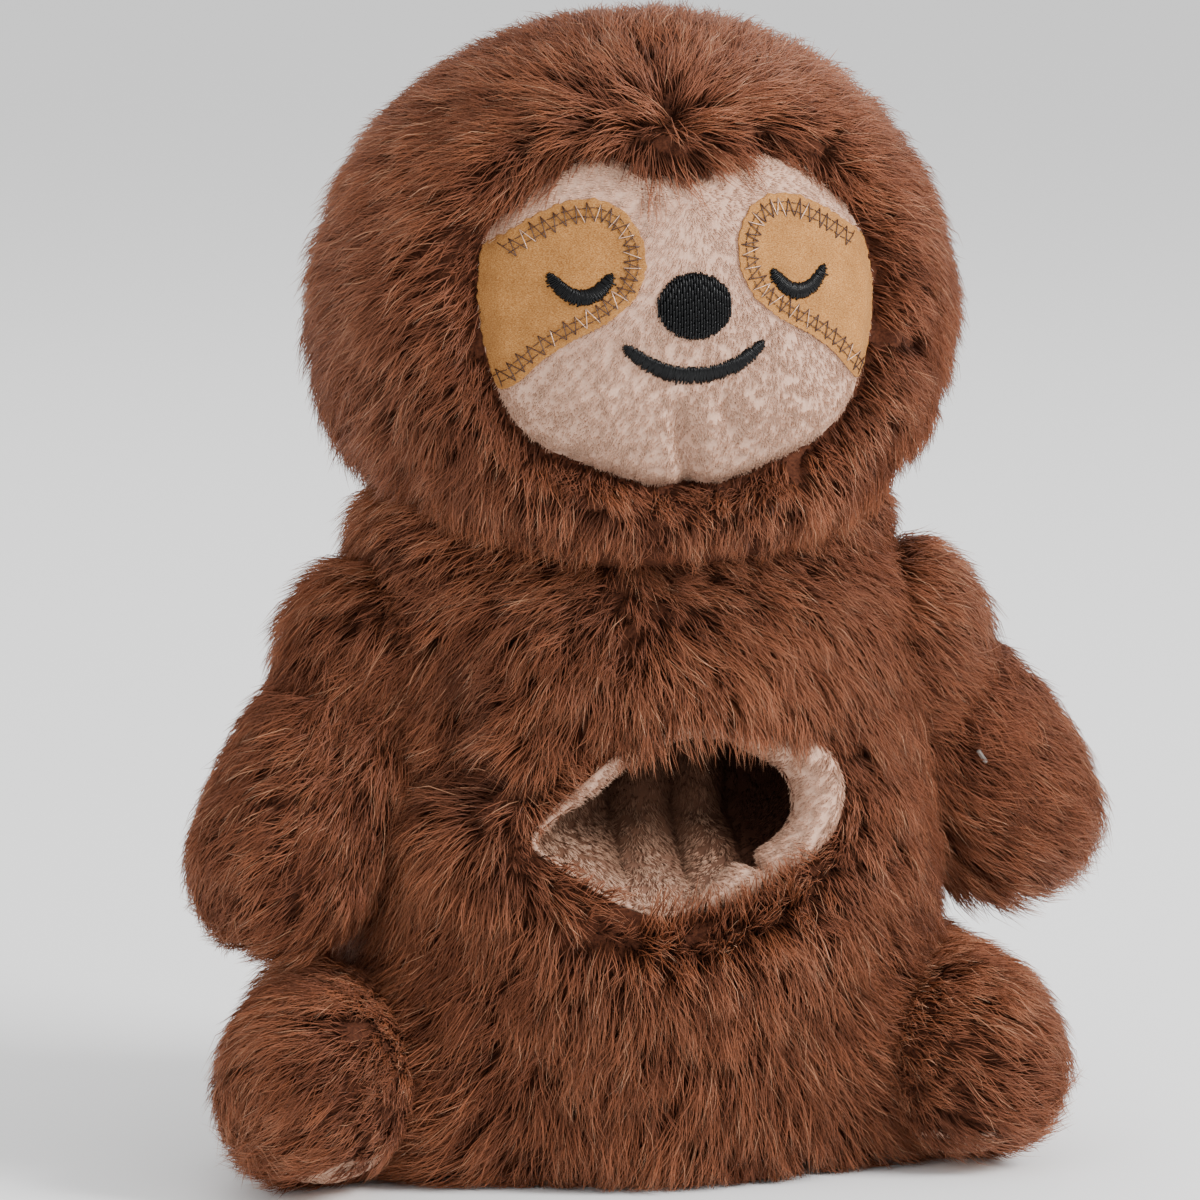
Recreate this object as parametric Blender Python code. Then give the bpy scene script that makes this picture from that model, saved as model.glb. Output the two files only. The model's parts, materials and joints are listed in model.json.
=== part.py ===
"""Seated plush sloth with a belly pocket, built as a sewn and stuffed toy.

Metres, +Z up. The toy faces -Y. The origin is the middle of the base panel's underside, on the floor.
Left and right are the toy's own: its left side is at +X.
A fur cover's outer face is the lie of the pile, so the wall holds both the pile and its backing.
"""

import math
from collections import namedtuple

import bmesh
import bpy
from mathutils import Matrix, Vector

# Head
HEAD_HALF_WIDTH = 0.088
HEAD_HALF_DEPTH = 0.077
HEAD_HALF_HEIGHT = 0.083
HEAD_COVER_WALL = 0.012
NECK_BALL_RADIUS = 0.084
NECK_HEIGHT = 0.1765
NECK_TO_HEAD_CENTRE = 0.0495
NECK_BLEND_START = math.radians(112)
NECK_BLEND_END = math.radians(122)

# Face: sizes seen from the front, heights measured from the head's centre
FACE_HALF_WIDTH = 0.054
FACE_RISE = 0.0485
FACE_DROP = 0.0390
FACE_SINK = 0.009
FACE_WALL = 0.003
PATCH_WALL = 0.0008
EYE_SPACING = 0.0295
EYE_RISE = 0.0187
EYE_HALF_WIDTH = 0.0078
EYE_SAG = 0.0060
EYE_THREAD_WIDTH = 0.0029
EYE_THREAD_WALL = 0.0009
NOSE_RISE = 0.0103
NOSE_HALF_WIDTH = 0.0103
NOSE_HALF_HEIGHT = 0.0087
NOSE_WALL = 0.0018
MOUTH_RISE = 0.0004
MOUTH_HALF_WIDTH = 0.0188
MOUTH_SAG = 0.0080
MOUTH_THREAD_WIDTH = 0.0034
MOUTH_THREAD_WALL = 0.0012

# Body
BODY_FORM_HEIGHT = 0.190
BODY_HALF_WIDTH = 0.083
BODY_HALF_DEPTH = 0.074
BODY_COVER_WALL = 0.010

# Base
BASE_PANEL_HALF_WIDTH = 0.050
BASE_PANEL_HALF_DEPTH = 0.043
BASE_PANEL_WALL = 0.004
PELLET_BAG_HALF_WIDTH = 0.043
PELLET_BAG_HALF_DEPTH = 0.037
PELLET_BAG_HEIGHT = 0.022

# Belly pocket
POCKET_HALF_WIDTH = 0.042
POCKET_HALF_HEIGHT = 0.027
POCKET_DEPTH = 0.066
POCKET_HEADROOM = 0.0155
LINING_WALL = 0.0025
RIM_TUBE_RADIUS = 0.004
RIM_PROUD = 0.001

# Arms
SHOULDER_HALF_SPACING = 0.069
SHOULDER_FORWARD = 0.004
SHOULDER_CLEARANCE = 0.002
ARM_ROOT_RADIUS = 0.027
PAW_HALF_WIDTH = 0.0268
PAW_HALF_THICKNESS = 0.025
PAW_CLEARANCE = 0.003
ARM_BOW = 0.002
ARM_COVER_WALL = 0.008
ARM_LEFT_SPLAY = math.radians(36)
ARM_LEFT_FORWARD = math.radians(-13)
ARM_RIGHT_SPLAY = math.radians(32.5)
ARM_RIGHT_FORWARD = math.radians(18.5)

# Legs
HIP_SINK = 0.006
HIP_BACK = 0.005
LEG_ROOT_RADIUS = 0.029
LEG_LENGTH = 0.052
LEG_LEFT_TOE_OUT = math.radians(2)
LEG_RIGHT_TOE_OUT = math.radians(21)
FOOT_HALF_WIDTH = 0.0275
FOOT_HALF_HEIGHT = 0.0285
LEG_COVER_WALL = 0.009
SOLE_HEEL_HEIGHT = 0.006
SOLE_TILT = math.radians(6)

# Plastic bar that a paper tag hung from, left in the fur of the left arm
TAG_BAR_LENGTH = 0.0045
TAG_BAR_RADIUS = 0.0006
TAG_PATH_SHARE = 0.55
TAG_AROUND = math.radians(-86)

# Fits
GAP = 0.0003
FLAT_CUT = 0.0005
OVERRUN = 0.020

# Shares of the body form's height, half width and half depth, from the floor up
BODY_PROFILE_SHARES = (
    (0.00, 0.78, 0.80),
    (0.02, 0.86, 0.885),
    (0.06, 0.93, 0.945),
    (0.13, 0.98, 0.985),
    (0.24, 1.00, 1.00),
    (0.38, 1.00, 0.99),
    (0.50, 0.99, 0.95),
    (0.62, 0.97, 0.89),
    (0.74, 0.95, 0.83),
    (0.84, 0.94, 0.77),
    (0.93, 0.89, 0.69),
    (1.00, 0.66, 0.50),
)
# Shares along a limb's middle line, then of the paw's half width and half thickness
LIMB_PROFILE_SHARES = (
    (0.30, 0.88, 0.88),
    (0.55, 0.97, 0.96),
    (0.80, 1.00, 1.00),
    (1.00, 0.97, 0.97),
)
# Half outline of the face opening, from its lowest point round to the fur's peak at the top:
# shares of the face's half width, then of its drop below or its rise above the head's centre
FACE_OUTLINE_SHARES = (
    (0.00, -0.985),
    (0.17, -1.00),
    (0.34, -0.92),
    (0.52, -0.82),
    (0.68, -0.73),
    (0.80, -0.60),
    (0.88, -0.44),
    (0.945, -0.20),
    (0.985, 0.05),
    (1.00, 0.26),
    (0.975, 0.48),
    (0.91, 0.63),
    (0.80, 0.77),
    (0.68, 0.88),
    (0.52, 0.98),
    (0.36, 1.00),
    (0.20, 0.93),
    (0.00, 0.87),
)
# Outline of one eye patch in shares of the face's half width and rise. It runs on past the
# face's edge, where the face's own outline trims it
PATCH_OUTLINE_SHARES = (
    (1.15, 0.40),
    (0.88, 0.58),
    (0.74, 0.685),
    (0.58, 0.77),
    (0.43, 0.785),
    (0.31, 0.72),
    (0.235, 0.57),
    (0.235, 0.40),
    (0.30, 0.25),
    (0.43, 0.13),
    (0.60, 0.03),
    (0.73, -0.09),
    (0.83, -0.24),
    (0.91, -0.42),
    (1.15, -0.42),
)

# Shares of the pocket's depth from its front, then of its width and height there
POCKET_SHARES = ((0, 1), (0.45, 1), (0.70, 0.95), (0.88, 0.82), (0.97, 0.60), (1, 0.35))
# Shares of the pellet bag's height, then of its width and depth there
PELLET_BAG_SHARES = ((0, 0.90), (0.25, 1), (0.60, 1), (0.85, 0.85), (1, 0.55))
# Shares of half the tag bar's length, then of its radius there
TAG_BAR_SHARES = ((-1, 0.6), (-0.9, 1), (0.9, 1), (1, 0.6))
# A line of thread narrows at its ends to this share of its width
THREAD_END_SHARE = 0.55

# Counts
HEAD_SEGMENTS = 30
HEAD_RINGS = 16
BODY_SEGMENTS = 32
BODY_INSIDE_SEGMENTS = 24
LIMB_SEGMENTS = 16
LIMB_INSIDE_SEGMENTS = 10
CAP_RINGS = 4
INSIDE_CAP_RINGS = 2
LIMB_BALL_SEGMENTS = 22
NECK_BALL_SEGMENTS = 32
POCKET_SEGMENTS = 24
RIM_SIDES = 8
THREAD_STEPS = 10
NOSE_POINTS = 20

# Edges turned further than this are shaded sharp
SHARP_ANGLE = math.radians(40)

# Colours of the materials: base colour and roughness
BROWN_FUR = ((0.30, 0.14, 0.07), 0.85)
CREAM_PLUSH = ((0.78, 0.62, 0.50), 0.90)
TAN_SUEDE = ((0.62, 0.42, 0.20), 0.80)
BLACK_THREAD = ((0.012, 0.012, 0.014), 0.45)
WHITE_STUFFING = ((0.86, 0.86, 0.84), 0.95)
PELLET_CLOTH = ((0.60, 0.58, 0.54), 0.90)
CLEAR_PLASTIC = ((0.55, 0.50, 0.47), 0.35)

Limb = namedtuple(
    "Limb", "root tip root_radius half_width half_thickness bow_axis bow width_axis"
)


def material(name, finish):
    """A Principled material with one colour and one roughness."""
    colour, roughness = finish
    made = bpy.data.materials.get(name)
    if made is None:
        made = bpy.data.materials.new(name)
        made.use_nodes = True
        shader = made.node_tree.nodes["Principled BSDF"]
        shader.inputs["Base Color"].default_value = (*colour, 1.0)
        shader.inputs["Roughness"].default_value = roughness
        shader.inputs["Metallic"].default_value = 0.0
    return made


def mesh_object(name, bm):
    """An object that holds this bmesh, with its faces turned outwards."""
    bmesh.ops.recalc_face_normals(bm, faces=bm.faces)
    mesh = bpy.data.meshes.new(name)
    bm.to_mesh(mesh)
    bm.free()
    made = bpy.data.objects.new(name, mesh)
    bpy.context.scene.collection.objects.link(made)
    return made


def loft(name, rings):
    """A closed solid through rings of points, where an end ring is a pole or a flat cap."""
    bm = bmesh.new()
    loops = [[bm.verts.new(point) for point in ring] for ring in rings]
    for low, high in zip(loops, loops[1:]):
        count = max(len(low), len(high))
        for i in range(count):
            j = (i + 1) % count
            corners = []
            for corner in (
                low[i % len(low)],
                low[j % len(low)],
                high[j % len(high)],
                high[i % len(high)],
            ):
                if corner not in corners:
                    corners.append(corner)
            bm.faces.new(corners)
    bmesh.ops.triangulate(bm, faces=bm.faces, quad_method="FIXED")
    for end in (loops[0], loops[-1]):
        if len(end) > 1:
            bm.faces.new(end)
    return mesh_object(name, bm)


def ellipse_ring(centre, across, up, segments):
    """Points on an ellipse with these two half axes, given as vectors."""
    return [
        centre + across * math.cos(angle) + up * math.sin(angle)
        for angle in (math.tau * i / segments for i in range(segments))
    ]


def remove(made):
    mesh = made.data
    bpy.data.objects.remove(made)
    bpy.data.meshes.remove(mesh)


def combine(target, *others, how="DIFFERENCE"):
    """Runs one exact Boolean for each of the others on the target, and takes those others away."""
    for other in others:
        modifier = target.modifiers.new(how, "BOOLEAN")
        modifier.operation = how
        modifier.object = other
        graph = bpy.context.evaluated_depsgraph_get()
        result = bpy.data.meshes.new_from_object(target.evaluated_get(graph))
        target.modifiers.clear()
        old = target.data
        target.data = result
        bpy.data.meshes.remove(old)
        remove(other)
    return target


def finish_piece(made, name, surface):
    """Names a piece, gives it its material and shades it smooth up to its real edges."""
    made.name = name
    made.data.name = name
    made.data.materials.clear()
    made.data.materials.append(surface)
    made.data.shade_smooth()
    made.data.set_sharp_from_angle(angle=SHARP_ANGLE)
    return made


def set_origin(made, point):
    """Puts an object's origin on its joint, with its shape where it was."""
    made.data.transform(Matrix.Translation(-point))
    made.location = point


def block(low, high):
    """A box between two corners."""
    bm = bmesh.new()
    bmesh.ops.create_cube(bm, size=1.0)
    size = high - low
    bmesh.ops.scale(bm, vec=size, verts=bm.verts)
    bmesh.ops.translate(bm, vec=(low + high) / 2, verts=bm.verts)
    return mesh_object("block", bm)


def outside_radius(radius, segments):
    """The corner radius of a faceted ball whose flats stay outside a true ball of this radius."""
    return radius / math.cos(math.pi / segments) ** 2


def ball(centre, radius, segments):
    """A faceted ball with a true ball's room inside it, so that a limb's root can turn there."""
    bm = bmesh.new()
    bmesh.ops.create_uvsphere(
        bm,
        u_segments=segments,
        v_segments=segments // 2,
        radius=outside_radius(radius, segments),
    )
    bmesh.ops.translate(bm, vec=centre, verts=bm.verts)
    return mesh_object("ball", bm)


def prism(outline, front, back):
    """A closed outline of (x, z) points, pulled along Y from front to back."""
    rings = [[Vector((x, y, z)) for x, z in outline] for y in (front, back)]
    return loft("prism", rings)


def offset_outline(outline, distance):
    """Moves a counter-clockwise outline of (x, z) points outwards by a distance."""
    moved = []
    count = len(outline)
    for i, (x, z) in enumerate(outline):
        before = Vector(outline[i - 1])
        after = Vector(outline[(i + 1) % count])
        along = (after - before).normalized()
        moved.append((x + along.y * distance, z - along.x * distance))
    return moved


# Places worked out from the sizes above
HEAD_CENTRE = Vector((0, 0, NECK_HEIGHT + NECK_TO_HEAD_CENTRE))
NECK_SOCKET_RADIUS = NECK_BALL_RADIUS + GAP
POCKET_HEIGHT = (
    HEAD_CENTRE.z
    - outside_radius(NECK_SOCKET_RADIUS, NECK_BALL_SEGMENTS)
    - POCKET_HEADROOM
    - POCKET_HALF_HEIGHT
)
LEG_CENTRE_HEIGHT = LEG_ROOT_RADIUS - FLAT_CUT
LEG_TOP = LEG_CENTRE_HEIGHT + LEG_ROOT_RADIUS
HIP_HALF_SPACING = BODY_HALF_WIDTH - HIP_SINK


def shoulder_height():
    """As high as an arm's root can sit and still clear the head's ball."""
    reach = NECK_BALL_RADIUS + ARM_ROOT_RADIUS + SHOULDER_CLEARANCE
    level = SHOULDER_HALF_SPACING**2 + SHOULDER_FORWARD**2
    return HEAD_CENTRE.z - math.sqrt(reach**2 - level)


def arm_direction(side, splay, forward):
    """From the shoulder to the paw: splayed out from straight down, and swung forward."""
    return Vector(
        (
            side * math.cos(forward) * math.sin(splay),
            -math.sin(forward),
            -math.cos(forward) * math.cos(splay),
        )
    )


def arm_length():
    """The longest that leaves both paws clear above the legs."""
    drop = shoulder_height() - LEG_TOP - PAW_CLEARANCE - PAW_HALF_WIDTH
    steepest = max(
        -arm_direction(1, splay, forward).z
        for splay, forward in (
            (ARM_LEFT_SPLAY, ARM_LEFT_FORWARD),
            (ARM_RIGHT_SPLAY, ARM_RIGHT_FORWARD),
        )
    )
    return drop / steepest


def arm_limb(side, splay, forward):
    root = Vector((side * SHOULDER_HALF_SPACING, -SHOULDER_FORWARD, shoulder_height()))
    along = arm_direction(side, splay, forward)
    width_axis = Vector((0, 1, 0)).cross(along).normalized()
    outward = width_axis if width_axis.x * side > 0 else -width_axis
    return Limb(
        root,
        root + along * arm_length(),
        ARM_ROOT_RADIUS,
        PAW_HALF_WIDTH,
        PAW_HALF_THICKNESS,
        outward,
        ARM_BOW,
        width_axis,
    )


def leg_limb(side, toe_out):
    root = Vector((side * HIP_HALF_SPACING, HIP_BACK, LEG_CENTRE_HEIGHT))
    along = Vector((side * math.sin(toe_out), -math.cos(toe_out), 0))
    width_axis = Vector((0, 0, 1)).cross(along).normalized()
    return Limb(
        root,
        root + along * LEG_LENGTH,
        LEG_ROOT_RADIUS,
        FOOT_HALF_WIDTH,
        FOOT_HALF_HEIGHT,
        width_axis,
        0,
        width_axis,
    )


def head_radius(polar, around):
    """The head's reach from its centre: an egg above, and a true ball where the neck turns."""
    x = math.sin(polar) * math.cos(around)
    y = math.sin(polar) * math.sin(around)
    z = math.cos(polar)
    egg = 1 / math.sqrt(
        (x / HEAD_HALF_WIDTH) ** 2
        + (y / HEAD_HALF_DEPTH) ** 2
        + (z / HEAD_HALF_HEIGHT) ** 2
    )
    share = (polar - NECK_BLEND_START) / (NECK_BLEND_END - NECK_BLEND_START)
    share = min(max(share, 0), 1)
    share = share * share * (3 - 2 * share)
    return egg + (NECK_BALL_RADIUS - egg) * share


def head_form(inset):
    """The head's outer form, drawn in by this much."""
    rings = []
    for i in range(HEAD_RINGS + 1):
        polar = math.pi * i / HEAD_RINGS
        count = HEAD_SEGMENTS if 0 < i < HEAD_RINGS else 1
        ring = []
        for j in range(count):
            around = math.tau * j / HEAD_SEGMENTS
            reach = head_radius(polar, around) - inset
            direction = Vector(
                (
                    math.sin(polar) * math.cos(around),
                    math.sin(polar) * math.sin(around),
                    math.cos(polar),
                )
            )
            ring.append(HEAD_CENTRE + direction * reach)
        rings.append(ring)
    return loft("head form", rings)


def body_form(inset, segments=BODY_SEGMENTS):
    """The body's outer form, a pear with a flat base, drawn in by this much all round."""
    rings = []
    for height_share, width_share, depth_share in BODY_PROFILE_SHARES:
        height = inset + height_share * (BODY_FORM_HEIGHT - 2 * inset)
        across = Vector((width_share * BODY_HALF_WIDTH - inset, 0, 0))
        deep = Vector((0, depth_share * BODY_HALF_DEPTH - inset, 0))
        rings.append(ellipse_ring(Vector((0, 0, height)), across, deep, segments))
    return loft("body form", rings)


def body_front(x, z):
    """Where the body's front face lies at this place, as a value of Y."""
    share = z / BODY_FORM_HEIGHT
    for low, high in zip(BODY_PROFILE_SHARES, BODY_PROFILE_SHARES[1:]):
        if low[0] <= share <= high[0]:
            part = (share - low[0]) / (high[0] - low[0])
            half_width = BODY_HALF_WIDTH * (low[1] + (high[1] - low[1]) * part)
            half_depth = BODY_HALF_DEPTH * (low[2] + (high[2] - low[2]) * part)
    return -half_depth * math.sqrt(1 - (x / half_width) ** 2)


def limb_centre(limb, share):
    """A limb's bowed middle line, at this share of the way from its root to its tip."""
    bow = limb.bow * 4 * share * (1 - share)
    return limb.root.lerp(limb.tip, share) + limb.bow_axis * bow


def limb_point(limb, share, around):
    """A point on a limb's side and its outward direction, at an angle round the middle line."""
    profile = ((0, limb.root_radius, limb.root_radius),) + tuple(
        (place, limb.half_width * wide, limb.half_thickness * thick)
        for place, wide, thick in LIMB_PROFILE_SHARES
    )
    for low, high in zip(profile, profile[1:]):
        if low[0] <= share <= high[0]:
            part = (share - low[0]) / (high[0] - low[0])
            wide = low[1] + (high[1] - low[1]) * part
            thick = low[2] + (high[2] - low[2]) * part
    axis = (limb.tip - limb.root).normalized()
    thick_axis = axis.cross(limb.width_axis)
    normal = limb.width_axis * math.cos(around) + thick_axis * math.sin(around)
    point = (
        limb_centre(limb, share)
        + limb.width_axis * (wide * math.cos(around))
        + thick_axis * (thick * math.sin(around))
    )
    return point, normal


def limb_form(limb, inset, segments=LIMB_SEGMENTS, cap_rings=CAP_RINGS):
    """A limb with a round root, a narrower neck and a fuller paw, drawn in by this much."""
    axis = (limb.tip - limb.root).normalized()
    thick_axis = axis.cross(limb.width_axis)
    root_reach = limb.root_radius - inset
    rings = [[limb.root - axis * root_reach]]
    for i in range(1, cap_rings + 1):
        angle = math.pi / 2 * i / cap_rings
        reach = root_reach * math.sin(angle)
        centre = limb.root - axis * (root_reach * math.cos(angle))
        rings.append(
            ellipse_ring(centre, limb.width_axis * reach, thick_axis * reach, segments)
        )
    for place, wide, thick in LIMB_PROFILE_SHARES:
        across = limb.width_axis * (limb.half_width * wide - inset)
        up = thick_axis * (limb.half_thickness * thick - inset)
        rings.append(ellipse_ring(limb_centre(limb, place), across, up, segments))
    tip_reach = limb.half_width - inset
    for i in range(1, cap_rings):
        angle = math.pi / 2 * i / cap_rings
        centre = limb.tip + axis * (tip_reach * math.sin(angle))
        size = math.cos(angle)
        rings.append(ellipse_ring(centre, across * size, up * size, segments))
    rings.append([limb.tip + axis * tip_reach])
    return loft("limb form", rings)


def limb_inside(limb, inset):
    """The plainer form that a limb's cover and stuffing share."""
    return limb_form(limb, inset, LIMB_INSIDE_SEGMENTS, INSIDE_CAP_RINGS)


def body_cutter(limb):
    """What a limb gives way to: the body a gap larger, less the socket that the limb's root turns in."""
    socket = ball(limb.root, limb.root_radius + GAP, LIMB_BALL_SEGMENTS)
    return combine(body_form(-GAP), socket)


def face_outline():
    """The face opening as a full counter-clockwise outline of (x, z) points."""
    half = []
    for across, rise in FACE_OUTLINE_SHARES:
        height = FACE_RISE if rise > 0 else FACE_DROP
        half.append((across * FACE_HALF_WIDTH, HEAD_CENTRE.z + rise * height))
    mirrored = [(-x, z) for x, z in reversed(half[1:-1])]
    return half + mirrored


def patch_outline(side):
    """One eye patch as a counter-clockwise outline of (x, z) points."""
    points = []
    for across, rise in PATCH_OUTLINE_SHARES:
        height = FACE_RISE if rise > 0 else FACE_DROP
        points.append((side * across * FACE_HALF_WIDTH, HEAD_CENTRE.z + rise * height))
    return points if side > 0 else points[::-1]


def sagging_outline(x, z, half_width, sag, width):
    """A line of thread that sags between its two ends, as an outline with round-looking ends."""
    middle = []
    for i in range(THREAD_STEPS + 1):
        share = 2 * i / THREAD_STEPS - 1
        middle.append(Vector((x + half_width * share, z - sag * (1 - share * share))))
    lower, upper = [], []
    for i, point in enumerate(middle):
        before = middle[max(i - 1, 0)]
        after = middle[min(i + 1, THREAD_STEPS)]
        along = (after - before).normalized()
        across = Vector((along.y, -along.x))
        half = width / 2 * (THREAD_END_SHARE if i in (0, THREAD_STEPS) else 1)
        lower.append(tuple(point + across * half))
        upper.append(tuple(point - across * half))
    return lower + upper[::-1]


def oval_outline(x, z, half_width, half_height):
    return [
        (x + half_width * math.cos(angle), z + half_height * math.sin(angle))
        for angle in (math.tau * i / NOSE_POINTS for i in range(NOSE_POINTS))
    ]


def face_prism(outline):
    """Everything in the front half of the head that lies inside an outline seen from the front."""
    return prism(outline, HEAD_CENTRE.y - HEAD_HALF_DEPTH - OVERRUN, HEAD_CENTRE.y)


def face_layer(name, outlines, outer_inset, wall, surface):
    """A thin piece that follows the head's form at this depth, trimmed to one or more outlines."""
    made = combine(head_form(outer_inset), head_form(outer_inset + wall))
    for outline in outlines:
        combine(made, face_prism(outline), how="INTERSECT")
    return finish_piece(made, name, surface)


def build_face(cream, tan, black):
    seam = offset_outline(face_outline(), -GAP)
    panel = face_layer("face_panel", [seam], FACE_SINK, FACE_WALL, cream)
    patch_depth = FACE_SINK - GAP - PATCH_WALL
    eye_depth = patch_depth - GAP - EYE_THREAD_WALL
    pieces = [panel]
    for side, word in ((1, "left"), (-1, "right")):
        outlines = [patch_outline(side), seam]
        pieces.append(
            face_layer(f"eye_patch_{word}", outlines, patch_depth, PATCH_WALL, tan)
        )
        eye = sagging_outline(
            side * EYE_SPACING,
            HEAD_CENTRE.z + EYE_RISE,
            EYE_HALF_WIDTH,
            EYE_SAG,
            EYE_THREAD_WIDTH,
        )
        pieces.append(
            face_layer(f"closed_eye_{word}", [eye], eye_depth, EYE_THREAD_WALL, black)
        )
    nose = oval_outline(
        0, HEAD_CENTRE.z + NOSE_RISE, NOSE_HALF_WIDTH, NOSE_HALF_HEIGHT
    )
    mouth = sagging_outline(
        0,
        HEAD_CENTRE.z + MOUTH_RISE,
        MOUTH_HALF_WIDTH,
        MOUTH_SAG,
        MOUTH_THREAD_WIDTH,
    )
    for name, outline, wall in (
        ("nose", nose, NOSE_WALL),
        ("mouth", mouth, MOUTH_THREAD_WALL),
    ):
        depth = FACE_SINK - GAP - wall
        pieces.append(face_layer(name, [outline], depth, wall, black))
    return pieces


def build_head(fur, cream, tan, black, stuffing):
    opening = face_prism(face_outline())
    cover = combine(head_form(0), head_form(HEAD_COVER_WALL), opening)
    filling = head_form(HEAD_COVER_WALL + GAP)
    pieces = [
        finish_piece(cover, "head_cover", fur),
        finish_piece(filling, "head_filling", stuffing),
    ]
    pieces += build_face(cream, tan, black)
    for piece in pieces:
        set_origin(piece, HEAD_CENTRE)


def pocket_form(inset):
    """The pocket's bag from in front of the body to its closed back, drawn in by this much."""
    mouth = body_front(0, POCKET_HEIGHT)
    back = mouth + POCKET_DEPTH - inset
    wide = POCKET_HALF_WIDTH - 2 * GAP - inset
    high = POCKET_HALF_HEIGHT - 2 * GAP - inset
    front = mouth - OVERRUN
    rings = []
    for along, size in POCKET_SHARES:
        centre = Vector((0, front + (back - front) * along, POCKET_HEIGHT))
        across = Vector((wide * size, 0, 0))
        up = Vector((0, 0, high * size))
        rings.append(ellipse_ring(centre, across, up, POCKET_SEGMENTS))
    return loft("pocket form", rings)


def pocket_rim_form():
    """The rolled edge: a round tube that follows the pocket's mouth over the curved belly."""
    reach = RIM_TUBE_RADIUS + 2 * GAP
    path = []
    for i in range(POCKET_SEGMENTS):
        angle = math.tau * i / POCKET_SEGMENTS
        x = (POCKET_HALF_WIDTH - reach) * math.cos(angle)
        z = POCKET_HEIGHT + (POCKET_HALF_HEIGHT - reach) * math.sin(angle)
        y = body_front(x, z) + RIM_TUBE_RADIUS - RIM_PROUD
        path.append(Vector((x, y, z)))
    bm = bmesh.new()
    loops = []
    for i, point in enumerate(path):
        along = (path[(i + 1) % POCKET_SEGMENTS] - path[i - 1]).normalized()
        deep = Vector((0, 1, 0)) - along * along.y
        deep.normalize()
        out = along.cross(deep)
        ring = ellipse_ring(
            point, out * RIM_TUBE_RADIUS, deep * RIM_TUBE_RADIUS, RIM_SIDES
        )
        loops.append([bm.verts.new(corner) for corner in ring])
    for i, low in enumerate(loops):
        high = loops[(i + 1) % POCKET_SEGMENTS]
        for j in range(RIM_SIDES):
            k = (j + 1) % RIM_SIDES
            bm.faces.new((low[j], low[k], high[k], high[j]))
    return mesh_object("pocket rim", bm)


def pellet_bag_form(grow):
    """A flat bag of pellets on the base panel, grown by this much all round."""
    low = BASE_PANEL_WALL + GAP - grow
    high = BASE_PANEL_WALL + GAP + PELLET_BAG_HEIGHT + grow
    rings = []
    for height_share, size_share in PELLET_BAG_SHARES:
        across = Vector((PELLET_BAG_HALF_WIDTH * size_share + grow, 0, 0))
        deep = Vector((0, PELLET_BAG_HALF_DEPTH * size_share + grow, 0))
        centre = Vector((0, 0, low + (high - low) * height_share))
        rings.append(ellipse_ring(centre, across, deep, POCKET_SEGMENTS))
    return loft("pellet bag form", rings)


def base_plate(half_width, half_depth, low, high):
    across = Vector((half_width, 0, 0))
    deep = Vector((0, half_depth, 0))
    rings = [
        ellipse_ring(Vector((0, 0, z)), across, deep, BODY_SEGMENTS)
        for z in (low, high)
    ]
    return loft("base plate", rings)


def limb_sockets(limbs):
    return [
        ball(limb.root, limb.root_radius + 2 * GAP, LIMB_BALL_SEGMENTS)
        for limb in limbs
    ]


def build_body(limbs, fur, cream, stuffing, pellets):
    mouth_outline = [
        (
            POCKET_HALF_WIDTH * math.cos(angle),
            POCKET_HEIGHT + POCKET_HALF_HEIGHT * math.sin(angle),
        )
        for angle in (math.tau * i / POCKET_SEGMENTS for i in range(POCKET_SEGMENTS))
    ]
    mouth = prism(mouth_outline, -BODY_HALF_DEPTH - OVERRUN, 0)
    opening = base_plate(
        BASE_PANEL_HALF_WIDTH + GAP,
        BASE_PANEL_HALF_DEPTH + GAP,
        -OVERRUN,
        BODY_COVER_WALL + BASE_PANEL_WALL,
    )
    cover = combine(
        body_form(0),
        body_form(BODY_COVER_WALL, BODY_INSIDE_SEGMENTS),
        mouth,
        opening,
        ball(HEAD_CENTRE, NECK_SOCKET_RADIUS, NECK_BALL_SEGMENTS),
        *limb_sockets(limbs),
    )
    finish_piece(cover, "body_cover", fur)

    filling = combine(
        body_form(BODY_COVER_WALL + GAP, BODY_INSIDE_SEGMENTS),
        pocket_form(-GAP),
        pellet_bag_form(GAP),
        ball(HEAD_CENTRE, NECK_SOCKET_RADIUS, NECK_BALL_SEGMENTS),
        *limb_sockets(limbs),
    )
    finish_piece(filling, "body_filling", stuffing)

    lining = combine(pocket_form(0), pocket_form(LINING_WALL))
    behind_rim = 2 * RIM_TUBE_RADIUS - RIM_PROUD + 2 * GAP
    combine(lining, body_form(behind_rim), how="INTERSECT")
    finish_piece(lining, "pocket_lining", cream)
    finish_piece(pocket_rim_form(), "pocket_rim", cream)
    finish_piece(pellet_bag_form(0), "pellet_bag", pellets)
    panel = base_plate(
        BASE_PANEL_HALF_WIDTH, BASE_PANEL_HALF_DEPTH, 0, BASE_PANEL_WALL
    )
    finish_piece(panel, "base_panel", fur)


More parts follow.
